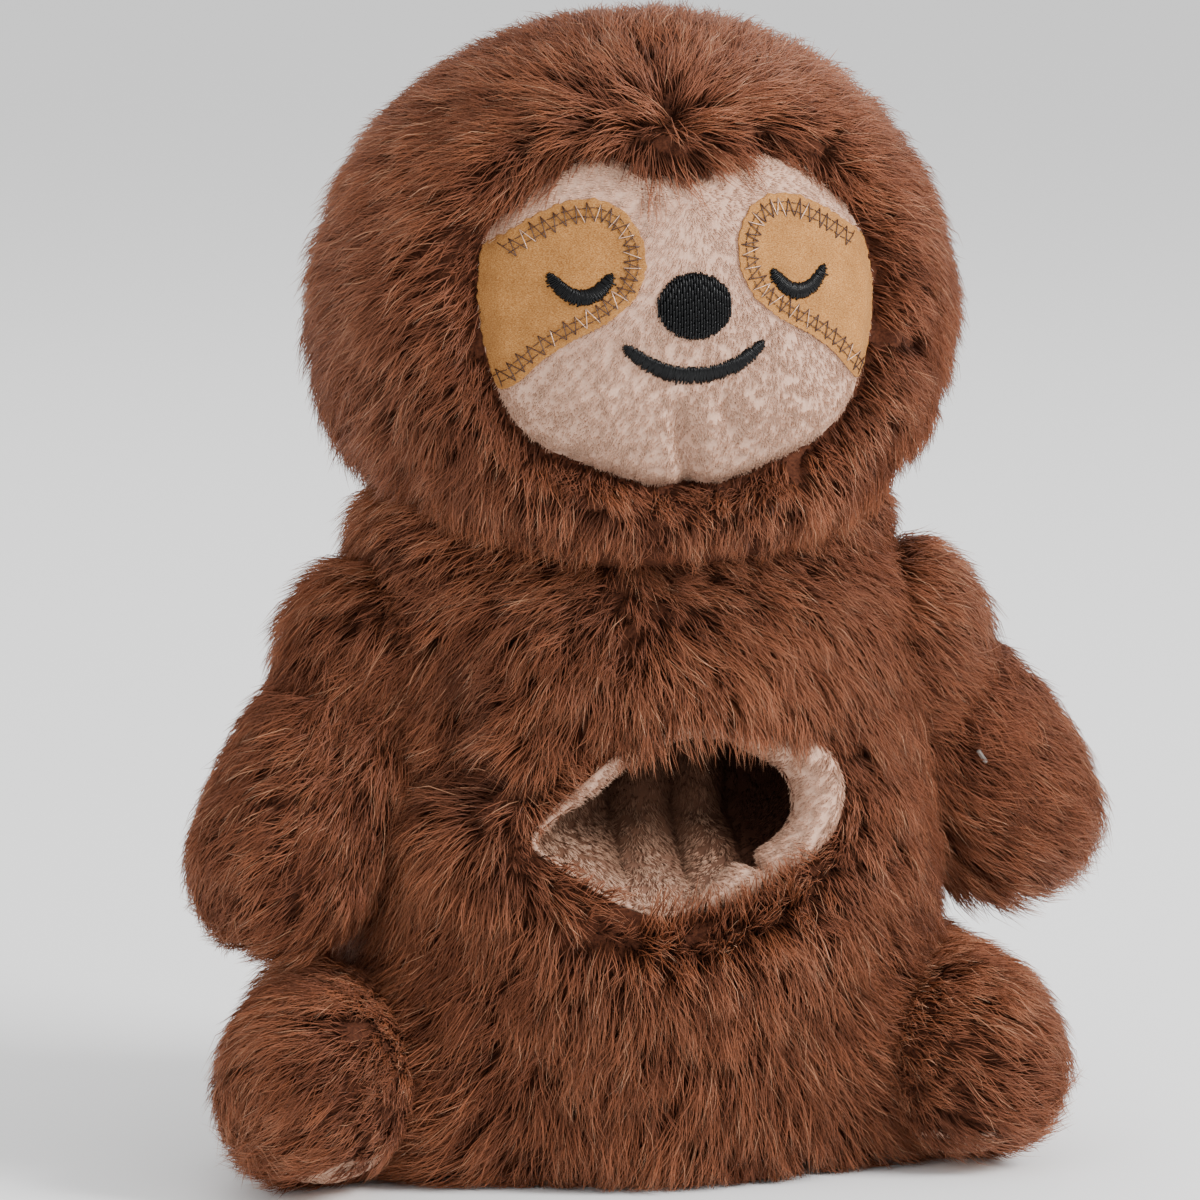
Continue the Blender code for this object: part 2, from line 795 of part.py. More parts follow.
def build_arm(limb, side, word, fur, stuffing):
    """One arm: a cover that is open at the shoulder, and the stuffing that comes to that opening."""
    opening_x = limb.root.x - side * ARM_COVER_WALL
    inner_x = limb.root.x - side * (ARM_ROOT_RADIUS + OVERRUN)

    def shoulder_side(edge_x):
        low_x, high_x = sorted((edge_x, inner_x))
        reach = ARM_ROOT_RADIUS + OVERRUN
        return block(
            Vector((low_x, limb.root.y - reach, limb.root.z - reach)),
            Vector((high_x, limb.root.y + reach, limb.root.z + reach)),
        )

    cover = combine(
        limb_form(limb, 0),
        body_cutter(limb),
        limb_inside(limb, ARM_COVER_WALL),
        shoulder_side(opening_x),
    )
    finish_piece(cover, f"arm_{word}_cover", fur)

    filling = limb_inside(limb, ARM_COVER_WALL + GAP)
    plug = combine(
        limb_form(limb, 0), shoulder_side(opening_x - side * GAP), how="INTERSECT"
    )
    combine(filling, plug, how="UNION")
    combine(filling, body_cutter(limb))
    finish_piece(filling, f"arm_{word}_filling", stuffing)
    for piece in (cover, filling):
        set_origin(piece, limb.root)


def tilted_floor(limb, lift):
    """Everything under the slanting seam between a foot's cover and its sole, raised by this much."""
    reach = LEG_LENGTH + LEG_ROOT_RADIUS + FOOT_HALF_WIDTH + OVERRUN
    made = block(
        Vector((-reach, -reach, -LEG_TOP - OVERRUN)),
        Vector((reach, reach, lift / math.cos(SOLE_TILT))),
    )
    turn = Matrix.Rotation(SOLE_TILT, 4, limb.width_axis)
    along = (limb.tip - limb.root).normalized()
    if (turn @ along).z < 0:
        turn = Matrix.Rotation(-SOLE_TILT, 4, limb.width_axis)
    heel = Vector((limb.root.x, limb.root.y, SOLE_HEEL_HEIGHT))
    made.data.transform(Matrix.Translation(heel) @ turn)
    return made


def under_floor(limb):
    """Everything under the floor near a foot."""
    reach = LEG_LENGTH + LEG_ROOT_RADIUS + FOOT_HALF_WIDTH + OVERRUN
    return block(
        Vector((limb.root.x - reach, limb.root.y - reach, -LEG_TOP)),
        Vector((limb.root.x + reach, limb.root.y + reach, 0)),
    )


def build_leg(limb, word, fur, cream, stuffing):
    """One leg: a fur cover over a cream sole that turns up at the toe, round its stuffing."""
    cover = combine(
        limb_form(limb, 0),
        body_cutter(limb),
        limb_inside(limb, LEG_COVER_WALL),
        tilted_floor(limb, GAP),
    )
    finish_piece(cover, f"leg_{word}_cover", fur)

    sole = combine(
        limb_form(limb, 0),
        body_cutter(limb),
        limb_inside(limb, LEG_COVER_WALL),
        under_floor(limb),
    )
    combine(sole, tilted_floor(limb, 0), how="INTERSECT")
    finish_piece(sole, f"sole_{word}", cream)

    filling = combine(limb_inside(limb, LEG_COVER_WALL + GAP), body_cutter(limb))
    finish_piece(filling, f"leg_{word}_filling", stuffing)
    for piece in (cover, sole, filling):
        set_origin(piece, limb.root)


def build_tag_bar(limb, plastic):
    """A small plastic crossbar that lies on the fur of the arm."""
    point, normal = limb_point(limb, TAG_PATH_SHARE, TAG_AROUND)
    along = (limb.tip - limb.root).normalized()
    centre = point + normal * (TAG_BAR_RADIUS + 2 * GAP)
    across = along.cross(normal).normalized()
    rings = []
    for share, size in TAG_BAR_SHARES:
        middle = centre + along * (TAG_BAR_LENGTH / 2 * share)
        reach = TAG_BAR_RADIUS * size
        rings.append(ellipse_ring(middle, across * reach, normal * reach, RIM_SIDES))
    bar = finish_piece(loft("tag bar", rings), "tag_bar", plastic)
    set_origin(bar, limb.root)


def main():
    for old in list(bpy.data.objects):
        bpy.data.objects.remove(old)
    fur = material("brown faux fur", BROWN_FUR)
    cream = material("cream plush", CREAM_PLUSH)
    tan = material("tan suede", TAN_SUEDE)
    black = material("black thread", BLACK_THREAD)
    stuffing = material("white stuffing", WHITE_STUFFING)
    pellets = material("pellet cloth", PELLET_CLOTH)
    plastic = material("clear plastic", CLEAR_PLASTIC)

    arm_left = arm_limb(1, ARM_LEFT_SPLAY, ARM_LEFT_FORWARD)
    arm_right = arm_limb(-1, ARM_RIGHT_SPLAY, ARM_RIGHT_FORWARD)
    leg_left = leg_limb(1, LEG_LEFT_TOE_OUT)
    leg_right = leg_limb(-1, LEG_RIGHT_TOE_OUT)

    build_head(fur, cream, tan, black, stuffing)
    build_body((arm_left, arm_right, leg_left, leg_right), fur, cream, stuffing, pellets)
    build_arm(arm_left, 1, "left", fur, stuffing)
    build_arm(arm_right, -1, "right", fur, stuffing)
    build_leg(leg_left, "left", fur, cream, stuffing)
    build_leg(leg_right, "right", fur, cream, stuffing)
    build_tag_bar(arm_left, plastic)


main()
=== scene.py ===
import json
import math
from collections import namedtuple

import bpy
import numpy as np
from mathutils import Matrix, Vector


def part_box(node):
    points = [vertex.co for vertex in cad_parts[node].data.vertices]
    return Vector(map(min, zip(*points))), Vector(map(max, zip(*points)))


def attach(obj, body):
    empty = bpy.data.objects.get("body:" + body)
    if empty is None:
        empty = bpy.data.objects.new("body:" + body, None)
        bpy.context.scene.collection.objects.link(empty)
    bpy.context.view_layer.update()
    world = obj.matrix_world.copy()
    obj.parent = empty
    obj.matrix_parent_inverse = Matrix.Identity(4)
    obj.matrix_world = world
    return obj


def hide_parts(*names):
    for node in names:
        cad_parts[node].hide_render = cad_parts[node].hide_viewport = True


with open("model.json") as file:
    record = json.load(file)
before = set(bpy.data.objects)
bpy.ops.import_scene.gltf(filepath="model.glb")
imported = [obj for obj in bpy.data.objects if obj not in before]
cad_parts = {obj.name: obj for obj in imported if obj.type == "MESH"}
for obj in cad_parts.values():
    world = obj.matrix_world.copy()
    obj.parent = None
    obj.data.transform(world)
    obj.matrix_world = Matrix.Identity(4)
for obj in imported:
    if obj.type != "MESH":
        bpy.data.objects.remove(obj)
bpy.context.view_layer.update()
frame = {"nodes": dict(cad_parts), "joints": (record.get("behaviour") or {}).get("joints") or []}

# Camera, from the photograph
CAMERA_AZIMUTH = math.radians(-14)
CAMERA_ELEVATION = math.radians(9)
CAMERA_DISTANCE = 3.2
CAMERA_CLIPS = (0.1, 20)
FRAME_WIDTH = 0.324
FRAME_CENTRE_ACROSS = -0.0086
FRAME_CENTRE_UP = 0.1464
SENSOR_WIDTH = 36.0

# Studio: each lamp's name, place, size and power
LAMPS = (
    ("key", (1.15, -0.9, 1.1), 0.6, 44),
    ("fill", (-1.3, -1.2, 0.7), 1.0, 5),
    ("back", (0.2, 1.2, 1.3), 0.9, 8),
)
LAMP_TARGET = (0, 0, 0.16)
FLOOR_REACH = 4.0
FLOOR_GREY = 0.93
SURROUND_STRENGTH = 1.05

# Forms that the CAD solids have, as the fur lies on them
JOINTS = {joint["name"]: np.array(joint["pos_m"]) for joint in frame["joints"]}
HEAD_CENTRE = JOINTS["head_turn"]
HEAD_HALF_SIZES = np.array((0.088, 0.077, 0.083))
NECK_BALL_RADIUS = 0.084
NECK_BLEND = (math.radians(112), math.radians(122))
BODY_HEIGHT = 0.190
BODY_HALF_WIDTH = 0.083
BODY_HALF_DEPTH = 0.074
# Shares of the body's height, then of its half width and half depth there
BODY_PROFILE_SHARES = (
    (0.00, 0.78, 0.80), (0.02, 0.86, 0.885), (0.06, 0.93, 0.945), (0.13, 0.98, 0.985),
    (0.24, 1.00, 1.00), (0.38, 1.00, 0.99), (0.50, 0.99, 0.95), (0.62, 0.97, 0.89),
    (0.74, 0.95, 0.83), (0.84, 0.94, 0.77), (0.93, 0.89, 0.69), (1.00, 0.66, 0.50),
)
# Radius of a limb's root, and half width and half thickness of its end, by how the limb moves
LIMB_SIZES = {"lift": (0.027, (0.0268, 0.025)), "splay": (0.029, (0.0275, 0.0285))}
# Shares of a limb's length, then of its end's size there
LIMB_PROFILE_SHARES = ((0.30, 0.88), (0.55, 0.965), (0.80, 1.00), (1.00, 0.97))

# Face
FACE_SINK = 0.009
SEAM_SINK = 0.0026
SEAM_WIDTH = 0.0045
FACE_SLOPE = 0.009
PATCH_THICKNESS = 0.0009
Crescent = namedtuple("Crescent", "half_width sag end_height half_thread")
EYE = Crescent(0.0078, 0.0060, 0.2450, 0.0020)
EYE_ACROSS = 0.0295
MOUTH = Crescent(0.0188, 0.0082, 0.2264, 0.0022)
NOSE_CENTRE = (0.0, 0.2363)
NOSE_HALF_SIZES = (0.0102, 0.0086)
NOSE_STITCH = 0.0030
THREAD_RADIUS = 0.00015
SATIN_RADIUS = 0.00024
NOSE_THREAD_RADIUS = 0.00036
THREAD_SIDES = 5
STITCH_PITCH = 0.0032
STITCH_BAND = (0.0010, 0.0056)
STITCH_LINES = (0.0021, 0.0042)
# Share of zigzag stitches in the pale metallic thread: its metal shines, and its pale colour on stitches
# chosen at random is a painted glint
PAINTED_GLINT_STITCHES = 0.25

# Pocket
POCKET_HALF_SIZES = (0.042, 0.0246)
POCKET_CENTRE = (0.0, 0.0990)
POCKET_TILT = 0.12
POCKET_POINT = 0.55
POCKET_DEEPEST = 0.040
PLEAT_CREASES = (-0.046, -0.0135, 0.0035, 0.0185, 0.050)
PLEAT_SLANT = 0.06
PLEAT_RISE = 0.007
# Angles round the mouth in degrees, and half the thickness of its rolled edge there
RIM_THICKNESS = (
    (-180, 0.0010), (-135, 0.0007), (-95, 0.0009), (-60, 0.0040), (-30, 0.0058), (10, 0.0072),
    (35, 0.0058), (60, 0.0022), (110, 0.0012), (145, 0.0017), (165, 0.0019), (180, 0.0010),
)

# Fur
SKIN_DEPTH = 0.006
LIMB_SKIN_DEPTH = SKIN_DEPTH - 0.0022
CLOTH_THICKNESS = 0.002
FLOOR_CLEARANCE = 0.0006
STRAND_SIDES = 3
# Share of guard hairs that get a pale colour as painted highlight, their shades, and how much finer they are
GLINTS = 0.06
GLINT_SHADES = (0.94, 0.99)
GLINT_FINENESS = 0.75
SHADE_RANGE = (0.02, 0.90)
LIFT_RANGE = (0.35, 1.35)
TUFT_LENGTHS = (0.88, 1.08)
STRAND_LENGTHS = (0.76, 1.06)
STRAND_RADII = (0.75, 1.15)
# How far strands draw together to their tuft's tip, and spread to its sides
GATHER = (0.05, 0.60)
FAN = np.radians(10)
# Lift in degrees that strands near a whorl's middle take on, and their stray as a share of the length
UPRIGHT_LIFT = 80
STRAY = 0.024
LEAST_SCALE = 0.35
LEAST_FIRMNESS = 0.15
# Share of its length that the fur keeps where a moving limb covers it at rest
HIDDEN_LENGTH = 0.35

Pile = namedtuple("Pile", "density length lifts tuft_radius tuft_strands segments radius droop unrest")
GUARD = Pile(0.66e6, 0.0185, (43, 4), 0.0032, 14, 3, 0.00020, 0.18, 0.75)
UNDER = Pile(0.90e6, 0.0130, (52, 14), 0.0026, 10, 2, 0.00021, 0.10, 0.9)
LIMB_GUARD = GUARD._replace(length=0.0175, lifts=(38, -10))
LIMB_UNDER = UNDER._replace(lifts=(47, 2))
NAP = Pile(3.4e6, 0.0018, (32, 6), 0.0010, 5, 2, 0.000115, 0.0, 0.16)
LONG_NAP = NAP._replace(length=0.0026, density=2.6e6, radius=0.00013, unrest=0.3)
SOLE_NAP = NAP._replace(density=1.8e6, radius=0.00011)

# Whorls that the pile runs away from
HEAD_WHORL = np.array((-0.0035, -0.0530, 0.2868))
FACE_WHORL = np.array((0.0, -0.068, 0.262))
CHEST_WHORL = np.array((-0.014, -0.060, 0.1645))
HAUNCH_WHORL = np.array((-0.047, -0.059, 0.103))
ARM_RIGHT_WHORL = np.array((-0.088, -0.042, 0.113))
ARM_LEFT_WHORL = np.array((0.085, -0.030, 0.1075))

# How each limb moves, where its pile comes from, how much it hangs, its whorl, shares of the pile's
# length at the root and at the end, and how far to the side a sole's bare toe starts and ends
LIMB_FACTS = {
    "arm_left": ("lift", (-0.78, 0.10, 0.59), 0.1, ARM_LEFT_WHORL, (1.10, 1.10), None),
    "arm_right": ("lift", (0.68, 0.10, 0.74), 0.1, ARM_RIGHT_WHORL, (1.20, 0.85), None),
    "leg_left": ("splay", (-0.77, 0.40, 0.40), 0.0, None, (1.00, 1.00), (0.046, 0.086)),
    "leg_right": ("splay", (0.77, 0.30, 0.44), 0.0, None, (1.00, 1.05), (0.074, 0.103)),
}

SEEDS = {
    "head": 20, "body": 21, "arm_left": 22, "arm_right": 23, "leg_left": 24, "leg_right": 25,
    "face": 60, "patch": 70, "satin": 80, "nose": 90, "lining": 100, "rim": 101, "sole": 110,
}

SECTORS = ("front", "front_left", "left", "back_left", "back", "back_right", "right", "front_right")


# Small sums

def unit(vectors):
    """The same vectors with a length of one."""
    length = np.linalg.norm(vectors, axis=-1, keepdims=True)
    return vectors / np.maximum(length, 1e-12)


def dot(a, b):
    return np.sum(a * b, axis=-1, keepdims=True)


def smooth_share(value):
    value = np.clip(value, 0, 1)
    return value * value * (3 - 2 * value)


def past(value, start, width):
    """From 0 at this start to 1 this much above it."""
    return smooth_share((value - start) / width)


def short_of(value, end, width):
    """From 0 at this end to 1 this much below it."""
    return smooth_share((end - value) / width)


def bump(values, middle, width):
    return np.exp(-(((values - middle) / width) ** 2))


def even_angles(count, start=0.0):
    return np.linspace(start, start + math.tau, count, endpoint=False)


def circle(angle):
    return np.stack((np.cos(angle), np.sin(angle)), axis=1)


def softened(values, times):
    """Values round a loop, with each drawn towards its neighbours."""
    for _ in range(times):
        values = (np.roll(values, 1, axis=0) + 2 * values + np.roll(values, -1, axis=0)) / 4
    return values


def beside(run):
    """The directions square to these (x, z) ones, to their left."""
    return np.stack((-run[:, 1], run[:, 0]), axis=1)


def wave_noise(points, size, seed):
    """Smooth noise, mostly from -1 to 1, whose bumps are about this size across."""
    random = np.random.default_rng(seed)
    waves = 10
    directions = unit(random.normal(size=(waves, points.shape[-1])))
    pitch = math.tau / (size * random.uniform(1.4, 3.2, waves))
    phase = random.uniform(0, math.tau, waves)
    return np.sin(points @ (directions.T * pitch) + phase).sum(axis=-1) / math.sqrt(waves)


def smooth_curve(shares, places):
    """A smooth curve through rows whose first value is the place, read at other places."""
    rows = np.array(shares, float)
    at = rows[:, 0]
    found = []
    for column in rows.T[1:]:
        slope = np.gradient(column, at)
        i = np.clip(np.searchsorted(at, places, side="right") - 1, 0, len(at) - 2)
        width = at[i + 1] - at[i]
        t = (places - at[i]) / width
        found.append(
            (2 * t**3 - 3 * t**2 + 1) * column[i]
            + (t**3 - 2 * t**2 + t) * slope[i] * width
            + (3 * t**2 - 2 * t**3) * column[i + 1]
            + (t**3 - t**2) * slope[i + 1] * width
        )
    return found


# Outlines in the front view

class Outline:
    """A closed outline in the front view, as its reach at angles about its middle."""

    def __init__(self, centre, points):
        self.centre = np.array(centre)
        away = points - self.centre
        angle = np.arctan2(away[:, 1], away[:, 0])
        order = np.argsort(angle)
        self.angles = angle[order]
        self.reaches = np.linalg.norm(away, axis=1)[order]

    def reach(self, angle):
        return np.interp(angle, self.angles, self.reaches, period=math.tau)

    def gap(self, points):
        """About how far each place is outside the outline, as seen from the front."""
        away = points[..., (0, 2)] - self.centre
        angle = np.arctan2(away[..., 1], away[..., 0])
        return np.linalg.norm(away, axis=-1) - self.reach(angle)

    def front_gap(self, points):
        """The same gap, but well outside for every place on the back."""
        return np.where(points[..., 1] < 0, self.gap(points), 1.0)

    def nearness(self, points, width):
        """From 1 on the outline, fading over about this width, to 0, and 0 on the back."""
        return bump(self.gap(points), 0.0, width) * (points[:, 1] < 0)

    def outward(self, points):
        """The way from the outline's middle to each place, as seen from the front."""
        away = points - (self.centre[0], 0, self.centre[1])
        away[:, 1] = 0
        return away

    def rings(self, shares, count):
        """Rings of (x, z) places at these shares of the way out."""
        angle = even_angles(count)
        edge = self.reach(angle)[:, None] * circle(angle)
        return self.centre + np.array(shares)[:, None, None] * edge


def node_outline(node):
    """The outline of a thin CAD solid on the face, from the corners of its side walls."""
    mesh = frame["nodes"][node].data
    steepest = 0.3
    corners = {i for face in mesh.polygons if abs(face.normal.y) < steepest for i in face.vertices}
    points = np.array([(mesh.vertices[i].co.x, mesh.vertices[i].co.z) for i in sorted(corners)])
    centre = (points.min(axis=0) + points.max(axis=0)) / 2
    away = points - centre
    angle = np.arctan2(away[:, 1], away[:, 0])
    order = np.argsort(angle)
    even = even_angles(240, -math.pi)
    found = np.stack(
        [np.interp(even, angle[order], points[order, k], period=math.tau) for k in (0, 1)], axis=1
    )
    return Outline(centre, softened(found, 6))


def pocket_outline():
    """The pocket's mouth: an oval drawn to a point on the toy's right, and tilted."""
    angle = even_angles(240, -math.pi)
    x = POCKET_HALF_SIZES[0] * np.cos(angle)
    slim = 1 - POCKET_POINT * smooth_share(-x / POCKET_HALF_SIZES[0]) * np.abs(np.cos(angle))
    z = POCKET_HALF_SIZES[1] * np.sin(angle) * slim + POCKET_TILT * x
    return Outline(POCKET_CENTRE, np.stack((x, z), axis=1) + np.array(POCKET_CENTRE))


FACE = node_outline("face_panel")
PATCHES = {word: node_outline(f"eye_patch_{word}") for word in ("left", "right")}
POCKET = pocket_outline()


# Forms

def lofted(rows, count):
    """A grid of rings, each from its middle and its two half axes."""
    angle = even_angles(count)[:, None]
    return np.array([centre + np.cos(angle) * across + np.sin(angle) * up for centre, across, up in rows])


def head_reach(directions):
    """How far the head goes in each direction from its centre, as the fur lies on it."""
    egg = 1 / np.linalg.norm(directions / HEAD_HALF_SIZES, axis=-1, keepdims=True)
    polar = np.arccos(np.clip(directions[..., 2:], -1, 1))
    share = past(polar, NECK_BLEND[0], NECK_BLEND[1] - NECK_BLEND[0])
    return egg + (NECK_BALL_RADIUS - egg) * share


def head_grid(rings=150, count=240):
    """The head's skin, which dips to the face panel's seam and on behind the panel."""
    edge = 0.004
    rows = [
        ((0, 0, math.cos(polar)), (math.sin(polar), 0, 0), (0, math.sin(polar), 0))
        for polar in np.linspace(edge, math.pi - edge, rings)
    ]
    directions = unit(lofted(np.array(rows), count))
    places = HEAD_CENTRE + directions * (head_reach(directions) - SKIN_DEPTH)
    gap = FACE.front_gap(places)
    seam = face_places(places[..., (0, 2)], 0.0)[..., 1] + 0.0045 * smooth_share(-gap / 0.005)
    places[..., 1] += np.maximum(seam - places[..., 1], 0) * (1 - smooth_share(gap / FACE_SLOPE))
    return places


def body_halves(heights):
    """The body's half width and half depth at these heights."""
    share = np.clip(heights / BODY_HEIGHT, 0, 1)
    wide, deep = smooth_curve(BODY_PROFILE_SHARES, share)
    return wide * BODY_HALF_WIDTH, deep * BODY_HALF_DEPTH


def body_front(x, z, inset):
    """The y of the body's front at these places, drawn in by this much."""
    wide, deep = body_halves(z)
    return -(deep - inset) * np.sqrt(np.maximum(1 - (x / (wide - inset)) ** 2, 0.02))


def body_relief(points):
    """How much the stuffing swells the body's skin, and where its folds draw it in."""
    x, y, z = points[..., 0], points[..., 1], points[..., 2]
    front = smooth_share(-y / 0.03)
    mound = 0.0035 * bump(x, -0.050, 0.019) * bump(z, 0.091, 0.016)
    line = z - (0.104 + 0.33 * (x + 0.0646))
    fold = 0.005 * bump(line, 0.002, 0.0045) * bump(x, -0.052, 0.018)
    brow = 0.0025 * bump(x, 0.0, 0.045) * bump(z, 0.133, 0.012)
    neck = 0.0045 * bump(z, 0.168, 0.012) * (1 - past(-x, 0.035, 0.025))
    haunch = 0.011 * bump(np.abs(x), 0.064, 0.017) * bump(z, 0.018, 0.034)
    crease = 0.004 * bump(x, -0.053, 0.005) * bump(z, 0.122, 0.022)
    return front * (mound - fold + brow + haunch - crease) - neck


def body_grid(rings=130, count=220):
    rows = []
    for height in np.linspace(SKIN_DEPTH * 0.4, BODY_HEIGHT - SKIN_DEPTH, rings):
        wide, deep = body_halves(np.array(height))
        rows.append(((0, 0, height), (wide - SKIN_DEPTH, 0, 0), (0, deep - SKIN_DEPTH, 0)))
    grid = lofted(np.array(rows), count)
    lowest = grid[..., 2].min()
    grid = grid + grid_normals(grid) * body_relief(grid)[..., None]
    grid[..., 2] = np.maximum(grid[..., 2], lowest)
    return grid


class Limb:
    """A limb: its middle line, from its joint to the far end of its cover, its size and its pile."""

    def __init__(self, word):
        self.word = word
        motion, source, self.hang, self.whorl, self.lengths, self.sole = LIMB_FACTS[word]
        self.source = np.array(source)
        self.root = JOINTS[f"{word}_{motion}"]
        self.root_radius, (self.half_width, self.half_thickness) = LIMB_SIZES[motion]
        corners = np.array([v.co for v in frame["nodes"][f"{word}_cover"].data.vertices])
        away = np.linalg.norm(corners - self.root, axis=1)
        self.axis = unit(corners[away.argmax()] - self.root)
        self.length = away.max() - self.half_width
        across = np.array((1.0, 0, 0))
        self.width_axis = unit(across - self.axis * (across @ self.axis))
        self.thick_axis = np.cross(self.axis, self.width_axis)

    def halves(self, place):
        """Half width and half thickness at this distance along, before the round end."""
        first, first_size = LIMB_PROFILE_SHARES[0]
        share = min(place / self.length, 1.0)
        if share < first:
            blend = share / first
            return [
                self.root_radius + (half * first_size - self.root_radius) * blend
                for half in (self.half_width, self.half_thickness)
            ]
        (size,) = smooth_curve(LIMB_PROFILE_SHARES, np.array(share))
        return [half * float(size) for half in (self.half_width, self.half_thickness)]

    def grid(self, inset, rings=64, count=96):
        least = 1e-4
        rows = []
        for place in np.linspace(inset - self.root_radius, self.length + self.half_width - inset, rings):
            if place < 0:
                size = math.sqrt(max(1 - (place / (self.root_radius - inset)) ** 2, 0))
                wide = thick = (self.root_radius - inset) * size
            else:
                wide, thick = (half - inset for half in self.halves(place))
                beyond = max(place - self.length, 0) / (self.half_width - inset)
                size = math.sqrt(max(1 - beyond**2, 0))
                wide, thick = wide * size, thick * size
            middle = self.root + self.axis * place
            rows.append((middle, self.width_axis * max(wide, least), self.thick_axis * max(thick, least)))
        return lofted(rows, count)

    def along(self, points):
        """How far along the limb each place is."""
        return (points - self.root) @ self.axis

    def inside(self, points, inset):
        """Which points lie inside the limb, drawn in by this much."""
        from_root = points - self.root
        along = np.clip(from_root @ self.axis, 0, self.length)
        away = np.linalg.norm(from_root - along[:, None] * self.axis, axis=1)
        return away < self.half_thickness - inset

    def comb(self, points):
        """Nearly even flow from a source far off, with a whorl on an arm."""
        flow = away_from(points, self.source)
        flow[:, 2] -= self.hang
        if self.whorl is not None:
            flow += 0.4 * near(points, self.whorl, 0.014) * away_from(points, self.whorl)
        return flow


LIMBS = [Limb(word) for word in LIMB_FACTS]


def inside_head(points, inset):
    from_centre = points - HEAD_CENTRE
    reach = head_reach(unit(from_centre))[:, 0] - inset
    return np.linalg.norm(from_centre, axis=1) < reach


def inside_body(points, inset):
    wide, deep = body_halves(points[:, 2])
    oval = (points[:, 0] / (wide - inset)) ** 2 + (points[:, 1] / (deep - inset)) ** 2
    return (oval < 1) & (points[:, 2] > 0) & (points[:, 2] < BODY_HEIGHT - inset)


# Meshes

def grid_normals(grid, toward=None):
    """Normals of a grid that closes round, facing out of it or along these directions."""
    around = np.roll(grid, -1, axis=1) - np.roll(grid, 1, axis=1)
    along = np.gradient(grid, axis=0)
    normals = unit(np.cross(around, along))
    aim = grid - grid.mean(axis=(0, 1)) if toward is None else np.array(toward)
    return -normals if np.sum(normals * aim) < 0 else normals


def grid_quads(rows, count, loop=False):
    """The quads of a grid that closes round, and end to end if it is a loop."""
    index = np.arange(rows * count).reshape(rows, count)
    if loop:
        index = np.concatenate((index, index[:1]))
    right = np.roll(index, -1, axis=1)
    return np.stack((index[:-1], right[:-1], right[1:], index[1:]), axis=-1).reshape(-1, 4)


def scatter(grid, normals, count, random):
    """Places spread evenly over a grid, with the normal at each and the grid's area."""
    quads = grid_quads(*grid.shape[:2])
    a, b, c, d = (grid.reshape(-1, 3)[quads[:, k]] for k in range(4))
    areas = np.linalg.norm(np.cross(c - a, d - b), axis=-1) / 2
    chosen = random.choice(areas.size, size=count, p=areas / areas.sum())
    u, v = random.uniform(size=(2, count, 1))
    found = []
    for values in (grid, normals):
        a, b, c, d = (values.reshape(-1, 3)[quads[chosen, k]] for k in range(4))
        found.append((1 - v) * ((1 - u) * a + u * b) + v * ((1 - u) * d + u * c))
    return found[0], unit(found[1]), areas.sum()


def new_mesh(name, points, loops, starts, uv=None):
    """A mesh object from arrays, shaded smooth."""
    mesh = bpy.data.meshes.new(name)
    mesh.vertices.add(len(points))
    mesh.vertices.foreach_set("co", np.ascontiguousarray(points, np.float32).ravel())
    mesh.loops.add(len(loops))
    mesh.loops.foreach_set("vertex_index", loops.astype(np.int32))
    mesh.polygons.add(len(starts))
    mesh.polygons.foreach_set("loop_start", starts.astype(np.int32))
    mesh.polygons.foreach_set("use_smooth", np.ones(len(starts), bool))
    if uv is not None:
        layer = mesh.uv_layers.new(name="OFBake")
        layer.data.foreach_set("uv", np.ascontiguousarray(uv[loops], np.float32).ravel())
    mesh.update(calc_edges=True)
    made = bpy.data.objects.new(name, mesh)
    bpy.context.scene.collection.objects.link(made)
    return made


def tube_mesh(name, paths, radii, shades, sides=STRAND_SIDES, pointed=True):
    """A closed tube along each path, with its shade and the place along it as UVs."""
    count, steps, _ = paths.shape
    rings = steps - 1 if pointed else steps
    run = unit(paths[:, -1] - paths[:, 0])
    turn = unit(np.cross(run, np.array((0.31, 0.17, 0.93))))
    other = np.cross(run, turn)
    angle = math.tau * np.arange(sides) / sides
    around = (
        turn[:, None, :] * np.cos(angle)[None, :, None]
        + other[:, None, :] * np.sin(angle)[None, :, None]
    )
    place = np.linspace(0, 1, steps)
    taper = (1 - place[:rings]) ** 0.65 if pointed else np.ones(rings)
    size = radii[:, None] * taper[None, :]
    tube = paths[:, :rings, None, :] + around[:, None, :, :] * size[:, :, None, None]
    points = tube.reshape(count, -1, 3)
    if pointed:
        points = np.concatenate((points, paths[:, -1:, :]), axis=1)
    per_tube = points.shape[1]

    faces = [tuple(range(sides))[::-1]]
    for row in range(rings - 1):
        low, high = row * sides, (row + 1) * sides
        for i in range(sides):
            j = (i + 1) % sides
            faces.append((low + i, low + j, high + j, high + i))
    last = (rings - 1) * sides
    if pointed:
        faces += [(last + i, last + (i + 1) % sides, per_tube - 1) for i in range(sides)]
    else:
        faces.append(tuple(range(last, last + sides)))
    pattern = np.concatenate([np.array(face) for face in faces])
    starts = np.cumsum([0] + [len(face) for face in faces[:-1]])
    offset = np.arange(count)[:, None]
    loops = (pattern[None, :] + offset * per_tube).ravel()
    all_starts = (starts[None, :] + offset * len(pattern)).ravel()
    along = np.repeat(place[:rings], sides)
    if pointed:
        along = np.append(along, 1.0)
    uv = np.stack((np.repeat(shades, per_tube), np.tile(along, count)), axis=1)
    return new_mesh(name, points.reshape(-1, 3), loops, all_starts, uv)


